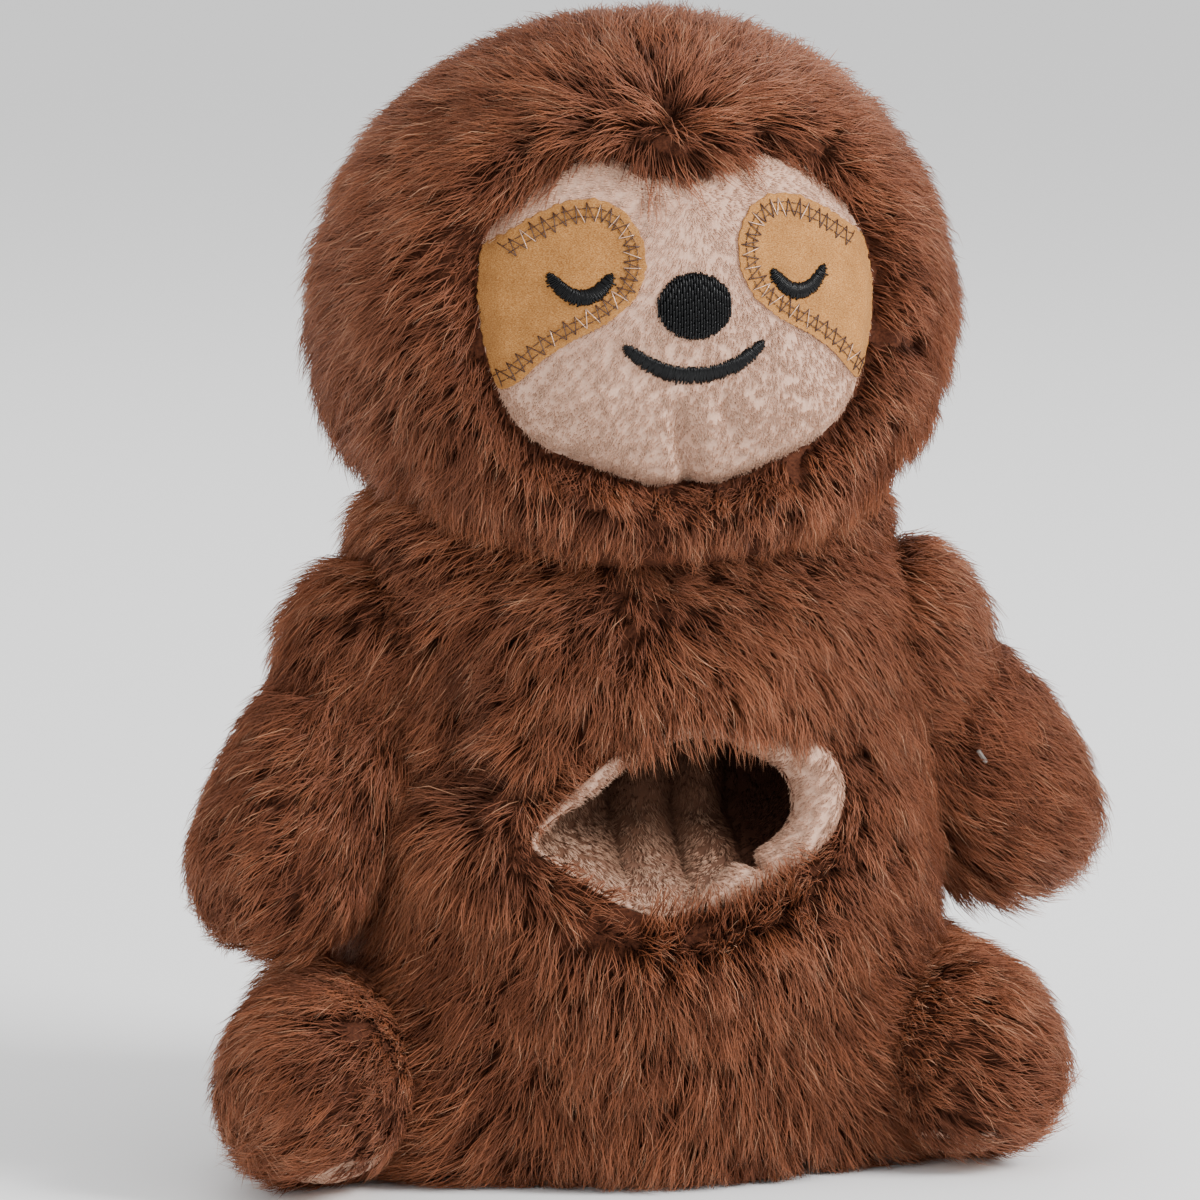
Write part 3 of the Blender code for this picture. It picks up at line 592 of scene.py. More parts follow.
def grid_mesh(name, grid, hole=None):
    """A grid that closes round, as quads with its end rings filled, and a hole cut in its front."""
    rows, count, _ = grid.shape
    points = grid.reshape(-1, 3).copy()
    quads = grid_quads(rows, count)
    if hole is not None:
        gap = hole.front_gap(points)
        quads = quads[(gap[quads] > 0).any(axis=1)]
        snapped = np.intersect1d(np.unique(quads), np.flatnonzero(gap < 0))
        away = points[snapped][:, (0, 2)] - hole.centre
        size = np.linalg.norm(away, axis=1)
        away *= ((size - gap[snapped]) / size)[:, None]
        points[snapped[:, None], (0, 2)] = hole.centre + away
    first = np.arange(count)[::-1]
    last = np.arange(count) + (rows - 1) * count
    loops = np.concatenate((quads.ravel(), first, last))
    starts = np.concatenate((np.arange(len(quads)) * 4, [quads.size, quads.size + count]))
    return new_mesh(name, points, loops, starts)


def loop_mesh(name, grid):
    """A grid that closes both ways, as quads."""
    quads = grid_quads(*grid.shape[:2], loop=True)
    return new_mesh(name, grid.reshape(-1, 3), quads.ravel(), np.arange(len(quads)) * 4)


def closed_sheet(top, depth, under_rows=None):
    """A sheet's rings, out over its top and back under it, this thick along +Y."""
    under = top[::-1] if under_rows is None else top[::-1][list(under_rows)]
    rim = top[-1:]
    return np.concatenate((top, rim + (0, depth * 0.5, 0), under + (0, depth, 0)))


# Materials

def linear(colour):
    """A scene-linear colour with its alpha, from a hex sRGB value or from linear values."""
    if isinstance(colour, str):
        values = [int(colour[i : i + 2], 16) / 255 for i in (0, 2, 4)]
        colour = [v / 12.92 if v <= 0.04045 else ((v + 0.055) / 1.055) ** 2.4 for v in values]
    return (*colour, 1.0)


class Look:
    """A material in the making."""

    def __init__(self, name, roughness, specular=0.5, sheen=0.0):
        self.material = bpy.data.materials.new(name)
        self.material.use_nodes = True
        self.link = self.material.node_tree.links.new
        self.shader = self.material.node_tree.nodes["Principled BSDF"]
        self.set(self.shader, {"Roughness": roughness, "Specular IOR Level": specular, "Sheen Weight": sheen})

    def set(self, node, values):
        for name, value in values.items():
            node.inputs[name].default_value = value

    def add(self, kind, source=None, **values):
        """A new node with these values, whose main input comes from this source."""
        node = self.material.node_tree.nodes.new(f"ShaderNode{kind}")
        self.set(node, {name.replace("_", " "): value for name, value in values.items()})
        if source is not None:
            main = {"ValToRGB": "Fac", "MapRange": "Value", "Bump": "Height"}.get(kind, "Vector")
            self.link(source, node.inputs[main])
        return node

    def split_place(self):
        """The three coordinates in object space."""
        return self.add("SeparateXYZ", self.add("TexCoord").outputs["Object"]).outputs

    def noise(self, size, detail=3.0, stretch=(1.0, 1.0, 1.0)):
        """Noise in object space whose grains are about this size."""
        place = self.add("Mapping", self.add("TexCoord").outputs["Object"], Scale=stretch)
        return self.add("TexNoise", place.outputs["Vector"], Scale=1 / size, Detail=detail).outputs["Fac"]

    def ramp(self, source, stops):
        """Colours between these stops."""
        node = self.add("ValToRGB", source)
        elements = node.color_ramp.elements
        while len(elements) > 1:
            elements.remove(elements[-1])
        elements[0].position = stops[0][0]
        elements[0].color = linear(stops[0][1])
        for position, colour in stops[1:]:
            elements.new(position).color = linear(colour)
        return node.outputs["Color"]

    def multiply(self, a, b):
        node = self.add("Mix")
        node.data_type = "RGBA"
        node.blend_type = "MULTIPLY"
        node.inputs["Factor"].default_value = 1.0
        self.link(a, node.inputs[6])
        self.link(b, node.inputs[7])
        return node.outputs[2]

    def paint(self, colour, heights=None, strength=0.0, distance=0.0):
        """The material with this colour, and a bump where heights are given."""
        self.link(colour, self.shader.inputs["Base Color"])
        if heights is not None:
            node = self.add("Bump", heights, Strength=strength, Distance=distance)
            self.link(node.outputs["Normal"], self.shader.inputs["Normal"])
        return self.material


def pile_material(name, along_stops, shade_stops, roughness, specular=0.35, sheen=0.0):
    """Colour of a pile from its UVs: the place along a strand times the strand's shade, which is its own
    colour and, where given, painted shade or highlight.
    """
    look = Look(name, roughness, specular, sheen)
    uv = look.add("UVMap")
    uv.uv_map = "OFBake"
    split = look.add("SeparateXYZ", uv.outputs["UV"]).outputs
    return look.paint(look.multiply(look.ramp(split["Y"], along_stops), look.ramp(split["X"], shade_stops)))


def cloth_material(name, dark, light, size, roughness=0.9):
    """A cloth with fine mottling and a bump of the same grain."""
    look = Look(name, roughness, 0.2)
    grain = look.noise(size, 4.0)
    return look.paint(look.ramp(grain, ((0.32, dark), (0.70, light))), grain, 0.5, size * 0.3)


def painted_shade_lining_material():
    """The lining's backing, with painted shade: pale at the lip and darker upwards and to the toy's left,
    deep in the pocket where shade falls.
    """
    look = Look("pocket lining backing, painted shade", 0.95, 0.1)
    split = look.split_place()
    colours = []
    # Painted shade: darker upwards and towards the toy's left
    for axis, start, end, stops in (
        ("Z", 0.074, 0.124, ((0.0, "8a6756"), (0.3, "634535"), (0.8, "3a241a"))),
        ("X", 0.006, 0.022, ((0.0, (1, 1, 1)), (1.0, (0.30, 0.22, 0.20)))),
    ):
        span = look.add("MapRange", split[axis], From_Min=start, From_Max=end)
        colours.append(look.ramp(span.outputs["Result"], stops))
    return look.paint(look.multiply(*colours), look.noise(0.0006), 0.5, 0.0002)


def suede_material():
    """Tan suede: a fine woven grain, broader cloudy wear and a soft bloom."""
    look = Look("tan suede", 0.9, 0.15, 0.04)
    fine = look.noise(0.00045, 2.0, (1.0, 1.0, 2.2))
    base = look.ramp(fine, ((0.32, "875529"), (0.50, "a3713c"), (0.70, "b98752")))
    cloud = look.ramp(look.noise(0.006), ((0.30, (0.84, 0.82, 0.80)), (0.70, (1.06, 1.06, 1.06))))
    return look.paint(look.multiply(base, cloud), fine, 0.6, 0.00015)


def thread_material(name, colour, roughness, specular, metallic=0.0):
    """Twisted thread, with a tight ply along each stitch."""
    look = Look(name, roughness, specular)
    look.shader.inputs["Metallic"].default_value = metallic
    ply = look.noise(0.00016, 1.0, (1.0, 1.0, 0.4))
    dark = [0.55 * v for v in linear(colour)[:3]]
    return look.paint(look.ramp(ply, ((0.35, dark), (0.65, colour))), ply, 0.6, 0.00006)


def plastic_material():
    """The clouded clear plastic of the tag's crossbar."""
    look = Look("tag plastic", 0.35, 0.5)
    look.shader.inputs["Transmission Weight"].default_value = 0.55
    return look.paint(look.ramp(look.noise(0.0012, 2.0), ((0.35, "8d827a"), (0.65, "b5aaa2"))))


# Shades of a strand's colour; the stop at 0.95 and above gives glint hairs a pale, bluish painted highlight
STRAND_SHADES = (
    (0.0, (0.60, 0.57, 0.56)),
    (0.5, (0.97, 0.95, 0.95)),
    (0.90, (1.25, 1.22, 1.21)),
    (0.93, (1.25, 1.22, 1.21)),
    (0.95, (1.9, 2.8, 3.6)),
)
CREAM_SHADES = (
    (0.0, (0.76, 0.70, 0.67)),
    (0.4, (0.89, 0.86, 0.84)),
    (0.65, (1.03, 1.02, 1.02)),
    (0.9, (1.07, 1.07, 1.07)),
)
# Painted shade of the pocket lining's nap: colours from deep shade up to the lit lip
LINING_PAINTED_SHADES = (
    (0.0, (0.035, 0.016, 0.010)),
    (0.25, (0.10, 0.060, 0.045)),
    (0.5, (0.25, 0.19, 0.16)),
    (0.8, (0.60, 0.54, 0.50)),
    (1.0, (1.05, 1.05, 1.05)),
)
GUARD_ALONG = ((0.0, "4a2717"), (0.35, "78452b"), (0.75, "965a3b"), (1.0, "b98464"))
UNDER_ALONG = ((0.0, "3f2012"), (0.5, "70402a"), (1.0, "8f563a"))
CREAM_ALONG = ((0.0, "cda288"), (0.5, "dbb399"), (1.0, "eac6ac"))
# Painted shade: the pocket edge's nap is a darker copy of the face's cream, for the shade at the pocket's
# mouth
EDGE_PAINTED_SHADE_ALONG = ((0.0, "a88069"), (0.5, "c59c84"), (1.0, "dcb8a0"))

MATERIALS = {
    "guard": pile_material("brown guard hair", GUARD_ALONG, STRAND_SHADES, 0.50),
    "under": pile_material("brown underfur", UNDER_ALONG, STRAND_SHADES, 0.60, 0.25),
    "skin": cloth_material("brown backing", "38190c", "5c3320", 0.0008),
    "cream": pile_material("cream plush", CREAM_ALONG, CREAM_SHADES, 0.75, 0.2, 0.05),
    "cream cloth": cloth_material("cream backing", "bd967f", "cfaa94", 0.0006, 0.95),
    "edge": pile_material("pocket edge plush, painted shade", EDGE_PAINTED_SHADE_ALONG, CREAM_SHADES, 0.8, 0.15),
    "lining": pile_material("pocket lining plush, painted shade", CREAM_ALONG, LINING_PAINTED_SHADES, 0.8, 0.15),
    "lining cloth": painted_shade_lining_material(),
    "suede": suede_material(),
    "black": thread_material("black satin thread", (0.003, 0.0032, 0.0038), 0.32, 0.20),
    "black cloth": cloth_material("black padding", "060607", "0e0e10", 0.0005),
    "brown thread": thread_material("brown machine thread", "4a2a1a", 0.45, 0.5),
    # Pale metallic thread: a real metallic shine, with a pale colour that is a painted glint
    "pale thread": thread_material("pale machine thread, painted glints", "e0b79a", 0.28, 0.6, 0.35),
    "plastic": plastic_material(),
}


def dress(piece, look, body):
    """Gives a piece its material, its body and the slot that the material belongs to."""
    piece.data.materials.append(MATERIALS[look])
    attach(piece, body)
    return piece


# Piles

def grow(grid, comb, pile, random, keep=None, trim=None, toward=None, painted_shading=None):
    """Strands in tufts over a grid: their paths, radii and shades."""
    normals = grid_normals(grid, toward)
    _, _, area = scatter(grid, normals, 1, random)
    roots, out, _ = scatter(grid, normals, int(area * pile.density / pile.tuft_strands), random)
    if keep is not None:
        kept = keep(roots)
        roots, out = roots[kept], out[kept]
    tufts = len(roots)
    scale = max(pile.length / GUARD.length, LEAST_SCALE)

    def waves(size, seed):
        return wave_noise(roots, size * scale, seed)

    flow = comb(roots)
    firmness = np.clip(np.linalg.norm(flow, axis=1), LEAST_FIRMNESS, 1)
    flow = unit(flow - out * dot(flow, out))
    side = np.cross(out, flow)
    swirl = 17 * waves(0.022, 3) + 12 * waves(0.008, 4)
    swirl += 10 * random.normal(size=tufts)
    swirl = np.radians(pile.unrest * swirl) / np.sqrt(firmness)
    flow, side = (
        flow * np.cos(swirl)[:, None] + side * np.sin(swirl)[:, None],
        side * np.cos(swirl)[:, None] - flow * np.sin(swirl)[:, None],
    )
    tuft_length = random.uniform(*TUFT_LENGTHS, tufts) * (1 + 0.07 * waves(0.012, 5))
    if trim is not None:
        tuft_length *= trim(roots)
    tuft_lift = 0.12 * random.normal(size=tufts) + 0.16 * waves(0.013, 6)
    tuft_lift = 1 + pile.unrest * tuft_lift
    tuft_shade = 0.10 * waves(0.030, 7) + 0.08 * waves(0.010, 8)
    tuft_shade = 0.5 + pile.unrest * (tuft_shade + 0.07 * random.normal(size=tufts))
    # Painted light and shade, where given, raise or lower the tufts' shades
    if painted_shading is not None:
        tuft_shade += painted_shading(roots)

    member = np.repeat(np.arange(tufts), pile.tuft_strands)
    count = len(member)
    angle = random.uniform(0, math.tau, count)
    away = pile.tuft_radius * np.sqrt(random.uniform(size=count))
    flow, side, out = flow[member], side[member], out[member]
    offset = flow * (away * np.cos(angle))[:, None] + side * (away * np.sin(angle))[:, None]
    length = pile.length * tuft_length[member] * random.uniform(*STRAND_LENGTHS, count)
    lift_scale = tuft_lift[member] + 0.16 * pile.unrest * random.normal(size=count)
    lift_scale = np.clip(lift_scale, *LIFT_RANGE)
    fan = FAN * random.normal(size=count)
    gather = random.uniform(*GATHER, count)
    upright = 0.9 * (1 - firmness[member])

    steps = pile.segments + 1
    paths = np.zeros((count, steps, 3))
    point = roots[member]
    paths[:, 0] = point + offset
    for step in range(1, steps):
        place = (step - 0.5) / pile.segments
        lift = (pile.lifts[0] + (pile.lifts[1] - pile.lifts[0]) * place) * lift_scale
        lift = np.radians(lift + (UPRIGHT_LIFT - lift) * upright)
        heading = (
            flow * np.cos(lift)[:, None]
            + out * np.sin(lift)[:, None]
            + side * np.sin(fan * (0.4 + 1.2 * place))[:, None]
        )
        heading[:, 2] -= pile.droop * place
        point = point + unit(heading) * (length / pile.segments)[:, None]
        share = step / pile.segments
        paths[:, step] = point + offset * (1 - gather * share**1.3)[:, None]
    wobble = STRAY * pile.length * random.normal(size=(count, steps, 3))
    wobble[:, 0] = 0
    paths += wobble
    paths[..., 2] = np.maximum(paths[..., 2], FLOOR_CLEARANCE)
    shades = tuft_shade[member] + 0.16 * pile.unrest * random.normal(size=count)
    shades = np.clip(shades, *SHADE_RANGE)
    radii = pile.radius * random.uniform(*STRAND_RADII, count)
    return paths, radii, shades


def add_glints(fur, share, random):
    """Gives a few strands a pale colour, a painted highlight for the glint of light on them, and a finer
    radius.
    """
    paths, radii, shades = fur
    glint = random.uniform(size=len(shades)) < share
    shades[glint] = random.uniform(*GLINT_SHADES, glint.sum())
    radii[glint] *= GLINT_FINENESS
    return paths, radii, shades


def compass_part(points):
    """Which of eight sectors round the upright axis a place is in, leftwards from the front."""
    angle = np.arctan2(points[:, 0], -points[:, 1])
    return np.round(angle / (math.tau / len(SECTORS))).astype(int) % len(SECTORS)


def pile_pieces(prefix, fur, look, body, names=SECTORS, part_of=compass_part):
    """The strands as separate pieces, one for each part of the surface."""
    part = part_of(fur[0][:, 0])
    for i, name in enumerate(names):
        chosen = part == i
        dress(tube_mesh(f"{prefix}_{name}", *(values[chosen] for values in fur)), look, body)


def two_layers(body, grid, comb, keep, trim, painted_shading=None, piles=(GUARD, UNDER), **parts):
    """Guard hair and the shorter fur under it, grown from the same skin."""
    random = np.random.default_rng(SEEDS[body])
    guard = add_glints(grow(grid, comb, piles[0], random, keep, trim, painted_shading=painted_shading), GLINTS, random)
    pile_pieces(f"{body}_fur", guard, "guard", body, **parts)
    under = grow(grid, comb, piles[1], random, keep, trim, painted_shading=painted_shading)
    pile_pieces(f"{body}_underfur", under, "under", body, **parts)


def lay_threads(name, paths, radii, look):
    """Sewing threads of the face along these paths."""
    return dress(tube_mesh(name, paths, radii, np.full(len(paths), 0.5), THREAD_SIDES, False), look, "head")


# Combing

def away_from(points, whorl, soft=0.008):
    """Directions away from a whorl, fading to nothing in its middle."""
    away = points - whorl
    return away / np.sqrt(np.sum(away**2, axis=-1, keepdims=True) + soft**2)


def near(points, place, size):
    away = np.linalg.norm(points - place, axis=1, keepdims=True)
    return np.exp(-((away / size) ** 2))


def below_brow(points):
    """From 1 beside and under the face to 0 over its brow."""
    return 1 - past(points[:, 2], 0.255, 0.015)


def head_comb(points):
    flow = away_from(points, HEAD_WHORL)
    seam = FACE.nearness(points, 0.009)
    flow += unit(FACE.outward(points)) * (0.35 * seam * below_brow(points))[:, None]
    flow[:, 2] -= 0.7 * seam
    return flow


def face_comb(points):
    flow = away_from(points, FACE_WHORL)
    flow[:, 2] -= 0.5
    return flow


def body_comb(points):
    flow = np.zeros_like(points)
    flow[:, 2] = -1.0
    x, z = points[:, 0], points[:, 2]
    wide = past(np.abs(x), 0.030, 0.030)
    outward = 1.2 * (wide * short_of(z, 0.080, 0.030)) + 0.7 * (wide * past(z, 0.128, 0.020))
    flow[:, 0] = 0.45 * x / BODY_HALF_WIDTH + np.sign(x) * outward
    flow += 2.0 * near(points, CHEST_WHORL, 0.036) * away_from(points, CHEST_WHORL, 0.012)
    flow += 2.6 * near(points, HAUNCH_WHORL, 0.022) * away_from(points, HAUNCH_WHORL)
    inward = -POCKET.outward(points) / (POCKET_HALF_SIZES[0] ** 2, 1, POCKET_HALF_SIZES[1] ** 2)
    below = short_of(z, POCKET_CENTRE[1] + 0.004, 0.016)
    return flow + unit(inward) * (POCKET.nearness(points, 0.009) * (0.3 + 2.6 * below))[:, None]


def rim_comb(points):
    return unit(-POCKET.outward(points)) + (0, -0.2, -0.5)


def straight(direction):
    """The same direction everywhere."""

    def comb(points):
        return np.tile(np.array(direction, float), (len(points), 1))

    return comb


# Pieces of the head

def face_relief(x, z):
    """How far the stuffing swells the face panel at these places, and its dart sinks it."""
    cheeks = 0.0026 * (bump(x, 0.029, 0.016) + bump(x, -0.029, 0.016)) * bump(z, 0.207, 0.012)
    dart = 0.0042 * bump(x + 0.25 * (z - 0.19), 0.0010, 0.0032) * short_of(z, 0.2145, 0.012)
    fold = 0.0022 * bump(x + 0.3 * (z - 0.206), 0.0095, 0.0026) * bump(z, 0.206, 0.006)
    lip = 0.0010 * bump(x, 0.0, 0.022) * bump(z, 0.216, 0.004)
    return cheeks - dart - fold - lip


def face_places(flat, rise):
    """Places on the face at these (x, z), raised by this much from the panel."""
    x, z = flat[..., 0], flat[..., 1]
    half = HEAD_HALF_SIZES - FACE_SINK
    left = 1 - (x / half[0]) ** 2 - ((z - HEAD_CENTRE[2]) / half[2]) ** 2
    y = -half[1] * np.sqrt(np.maximum(left, 0.05))
    places = np.stack((x, y, z), axis=-1)
    inside = -FACE.gap(places)
    sink = SEAM_SINK * (1 - smooth_share(inside / SEAM_WIDTH)) ** 1.5
    places[..., 1] += sink - face_relief(x, z) - rise
    return places


def build_head():
    grid = head_grid()
    skin = dress(grid_mesh("head_skin", grid), "skin", "head")
    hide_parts("head_cover", "head_filling")

    def keep(points):
        clear = (FACE.gap(points) > 0.0006) | (points[:, 1] > 0)
        clear &= (points[:, 2] > 0.171) | (points[:, 1] > -0.02)
        return clear & ~inside_body(points, 0.012)

    def trim(points):
        x, z = points[:, 0], points[:, 2]
        low = below_brow(points)
        under = short_of(z, 0.190, 0.02)
        jaw = bump(z, 0.190, 0.02) * past(x, 0.045, 0.02)
        crown = past(z, 0.280, 0.02) * short_of(x, 0.02, 0.03)
        brow = bump(FACE.gap(points), 0.004, 0.012) * (1 - low) * short_of(x, 0.03, 0.05)
        chin = low * FACE.nearness(points, 0.007)
        return 0.92 + 0.22 * brow - 0.28 * chin - 0.46 * under - 0.16 * crown - 0.2 * jaw

    two_layers("head", grid, head_comb, keep, trim)


def build_face():
    """The cream plush panel and its short nap."""
    shares = np.concatenate((np.linspace(0.01, 0.9, 60), np.linspace(0.91, 1.03, 14)))
    top = face_places(FACE.rings(shares, 240), 0.0)
    panel = grid_mesh("face_plush", closed_sheet(top, CLOTH_THICKNESS, (0, 30, -1)))
    dress(panel, "cream cloth", "head")
    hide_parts("face_panel")
    random = np.random.default_rng(SEEDS["face"])

    def keep(points):
        clear = FACE.gap(points) < -0.0002
        for patch in PATCHES.values():
            clear &= patch.gap(points) > -0.0006
        return clear

    def halves(points):
        return (points[:, 0] > 0).astype(int)

    # Painted light and shade on the face's nap: lighter over the brow and darker on the lower face, as the
    # light falls from above
    def painted_shading(points):
        return 0.14 - 0.34 * short_of(points[:, 2], 0.252, 0.035)

    nap = grow(top, face_comb, NAP, random, keep, toward=(0, -1, 0), painted_shading=painted_shading)
    pile_pieces("face_nap", nap, "cream", "head", ("right", "left"), halves)


def free_edge(outline, pitch):
    """Even places along a patch's outline off the face's seam, and the way in at each."""
    flat = outline.rings((1.0,), 720)[0]
    free = FACE.gap(face_places(flat, 0.0)) < -0.0012
    start = np.flatnonzero(free & ~np.roll(free, 1))[0]
    smooth = np.roll(flat, -start, axis=0)[: free.sum()].copy()
    for _ in range(40):
        smooth[1:-1] = (smooth[:-2] + 2 * smooth[1:-1] + smooth[2:]) / 4
    steps = np.linalg.norm(np.diff(smooth, axis=0), axis=1)
    travelled = np.concatenate(([0], np.cumsum(steps)))
    places = np.linspace(0, travelled[-1], int(steps.sum() / pitch) + 1)
    flat = np.stack([np.interp(places, travelled, smooth[:, k]) for k in (0, 1)], axis=1)
    return flat, beside(unit(np.gradient(flat, axis=0)))


def between(starts, ends, steps):
    """Places along lines between pairs of (x, z) places, and the share of the way at each."""
    share = np.linspace(0, 1, steps)[None, :, None]
    return starts[:, None, :] * (1 - share) + ends[:, None, :] * share, share[..., 0]


def machine_stitches(name, starts, ends, radius, look):
    """Short stitches between pairs of (x, z) places on a patch, pulled in at their ends."""
    flat, share = between(starts, ends, 5)
    paths = face_places(flat, PATCH_THICKNESS + radius)
    paths[..., 1] -= 0.00022 * np.sin(math.pi * share)
    lay_threads(name, paths, np.full(len(paths), radius), look)


def build_patch(word):
    """A suede patch with a raw edge, and zigzag stitched along its free edge."""
    random = np.random.default_rng(SEEDS["patch"])
    outline = PATCHES[word]
    outline.reaches = outline.reaches + 0.0002 * wave_noise(outline.angles[:, None], 0.06, 9)
    shares = np.concatenate((np.linspace(0.02, 0.92, 40), (0.95, 0.975, 0.99, 1.0)))
    top = face_places(outline.rings(shares, 300), PATCH_THICKNESS)
    patch = grid_mesh(f"suede_patch_{word}", closed_sheet(top, PATCH_THICKNESS + 0.0012, (0, 20, -1)))
    dress(patch, "suede", "head")
    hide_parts(f"eye_patch_{word}")
    edge, inward = free_edge(outline, STITCH_PITCH / 2)
    corners = edge + inward * np.resize(STITCH_BAND, len(edge))[:, None]
    corners += 0.00022 * random.normal(size=corners.shape)
    # Painted glints: stitches chosen at random take the pale metallic thread
    pale = random.uniform(size=len(edge) - 1) < PAINTED_GLINT_STITCHES
    for kind, chosen in (("brown", ~pale), ("pale", pale)):
        name = f"zigzag_{kind}_{word}"
        starts, ends = corners[:-1][chosen], corners[1:][chosen]
        machine_stitches(name, starts, ends, THREAD_RADIUS, f"{kind} thread")
    for i, inset in enumerate(STITCH_LINES):
        edge, inward = free_edge(outline, STITCH_PITCH * 0.62)
        line = edge + inward * inset + 0.0001 * random.normal(size=edge.shape)
        gap = (line[1:] - line[:-1]) * 0.10
        name = f"seam_line_{i + 1}_{word}"
        machine_stitches(name, line[:-1] + gap, line[1:] - gap, THREAD_RADIUS * 0.9, "brown thread")


def satin_line(node, middle, crescent, rise):
    """A satin stitched crescent: padding, and threads laid side by side across it."""
    random = np.random.default_rng(SEEDS["satin"])

    def line(t):
        z = crescent.end_height - crescent.sag * (1 - np.abs(t) ** 2.2)
        centre = np.stack((middle + crescent.half_width * t, z), axis=-1)
        run = unit(np.gradient(centre, axis=0))
        return centre, run, beside(run)

    def half(t):
        narrowing = np.sqrt(np.clip(1.06 - np.abs(t) ** 14, 0, 1))
        return crescent.half_thread * (0.72 + 0.28 * (1 - t**2)) * narrowing

    count = int(2.4 * crescent.half_width / (SATIN_RADIUS * 1.35))
    t = np.linspace(-1, 1, count)
    centre, run, across = line(t)
    wide = half(t) + 0.00030 * np.abs(random.normal(size=count))
    lean = run * (0.00018 * random.normal(size=count))[:, None]
    low = centre - across * wide[:, None] - lean
    high = centre + across * (half(t) + 0.00008 * random.normal(size=count))[:, None] + lean
    share = np.linspace(-1, 1, 7)
    flat = (low[:, None] * (1 - share[None, :, None]) + high[:, None] * (1 + share[None, :, None])) / 2
    paths = face_places(flat, rise)
    paths[..., 1] -= 0.00085 * np.sqrt(np.clip(1 - share**2, 0, 1))
    radii = SATIN_RADIUS * random.uniform(0.85, 1.1, count)
    threads = lay_threads(f"{node}_threads", paths, radii, "black")
    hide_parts(node)

    t = np.linspace(-0.99, 0.99, 48)
    centre, run, across = line(t)
    angle = even_angles(14)
    flat = centre[:, None, :] + across[:, None, :] * (0.86 * half(t)[:, None] * np.cos(angle))[..., None]
    pad = face_places(flat, rise)
    pad[..., 1] -= 0.0007 * np.sin(angle)
    dress(grid_mesh(f"{node}_padding", pad), "black cloth", "head")


def build_nose():
    """The nose: an oval of upright stitches in staggered rows, over padding."""
    random = np.random.default_rng(SEEDS["nose"])
    half_width, half_height = NOSE_HALF_SIZES
    height = NOSE_CENTRE[1]
    outline = Outline(NOSE_CENTRE, circle(even_angles(200, -math.pi)) * NOSE_HALF_SIZES + NOSE_CENTRE)
    shares = np.linspace(0.03, 0.97, 20)
    top = face_places(outline.rings(shares, 120), 0.0)
    top[..., 1] -= 0.0013 * np.sqrt(np.clip(1 - shares**4, 0, 1))[:, None]
    padding = grid_mesh("nose_padding", closed_sheet(top, CLOTH_THICKNESS, (0, 10, -1)))
    dress(padding, "black cloth", "head")

    pitch = NOSE_THREAD_RADIUS * 2.05
    starts, ends, lifts = [], [], []
    for i in range(int(2 * half_width / pitch)):
        x = -half_width + pitch * (i + 0.5)
        reach = half_height * math.sqrt(max(1 - (x / half_width) ** 2, 0)) + 0.0002 * random.normal()
        low, high = height - reach, height + reach
        z = low - NOSE_STITCH * ((i * 0.382) % 1)
        while z < high:
            first, last = max(z, low), min(z + NOSE_STITCH, high)
            if last - first > THREAD_RADIUS * 2:
                starts.append((x, first))
                ends.append((x, last))
                lifts.append(0.00010 * (i % 2))
            z += NOSE_STITCH
    flat, share = between(np.array(starts), np.array(ends), 6)
    paths = face_places(flat, 0.0)
    size = np.sum(((flat - NOSE_CENTRE) / NOSE_HALF_SIZES) ** 2, axis=-1) ** 2
    paths[..., 1] -= 0.0014 * np.sqrt(np.clip(1 - size, 0, 1)) + np.array(lifts)[:, None]
    paths[..., 1] -= 0.00016 * np.sin(math.pi * share)
    radii = NOSE_THREAD_RADIUS * random.uniform(0.9, 1.1, len(paths))
    threads = lay_threads("nose_threads", paths, radii, "black")
    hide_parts("nose")


# Pieces of the body

def build_body():
    grid = body_grid()
    skin = dress(grid_mesh("body_skin", grid, POCKET), "skin", "body")
    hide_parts("body_cover", "body_filling", "pellet_bag")

    def keep(points):
        clear = (POCKET.gap(points) > 0.0004) | (points[:, 1] > 0)
        clear &= ~inside_head(points, 0.014)
        for limb in LIMBS:
            clear &= ~limb.inside(points, 0.020)
        return clear & (points[:, 2] > 0.004)

    def trim(points):
        x, y, z = points.T
        below = short_of(z, POCKET_CENTRE[1], 0.02)
        fringe = 0.004 + 0.0080 * past(x, -0.022, 0.012) * short_of(x, 0.040, 0.012)
        hanging = np.clip((POCKET.gap(points) + fringe) / GUARD.length, 0.25, 1)
        hanging = np.where(y < 0, hanging + (1 - hanging) * below, 1.0)
        neck = past(z, 0.150, 0.02) * (1 - 0.6 * past(-x, 0.035, 0.025))
        leg = past(np.abs(x), 0.040, 0.015) * short_of(z, 0.065, 0.02) * (y < 0)
        size = hanging - 0.38 * below * POCKET.nearness(points, 0.008) - 0.35 * neck + 0.2 * leg
        for limb in LIMBS:
            size = np.where(limb.inside(points, 0.009), HIDDEN_LENGTH, size)
        return size

    # Painted shade darkens the fur in the body's folds and under the neck
    two_layers("body", grid, body_comb, keep, trim, body_painted_shade)


def body_painted_shade(points):
    """Painted shade: how much darker the fur is made in the folds beside the arm, over the haunch and under
    the neck, where shade falls.
    """
    x, y, z = points.T
    side = bump(x, -0.0510, 0.0050) * (past(z, 0.094, 0.012) * short_of(z, 0.150, 0.012))
    line = z - (0.1055 + 0.22 * (x + 0.064))
    fold = bump(line, 0.0, 0.0045) * short_of(x, -0.030, 0.010)
    neck = bump(z, 0.158, 0.011) * short_of(np.abs(x), 0.055, 0.02)
    return np.where(y < 0, -0.75 * side - 0.50 * fold - 0.26 * neck, 0.0)


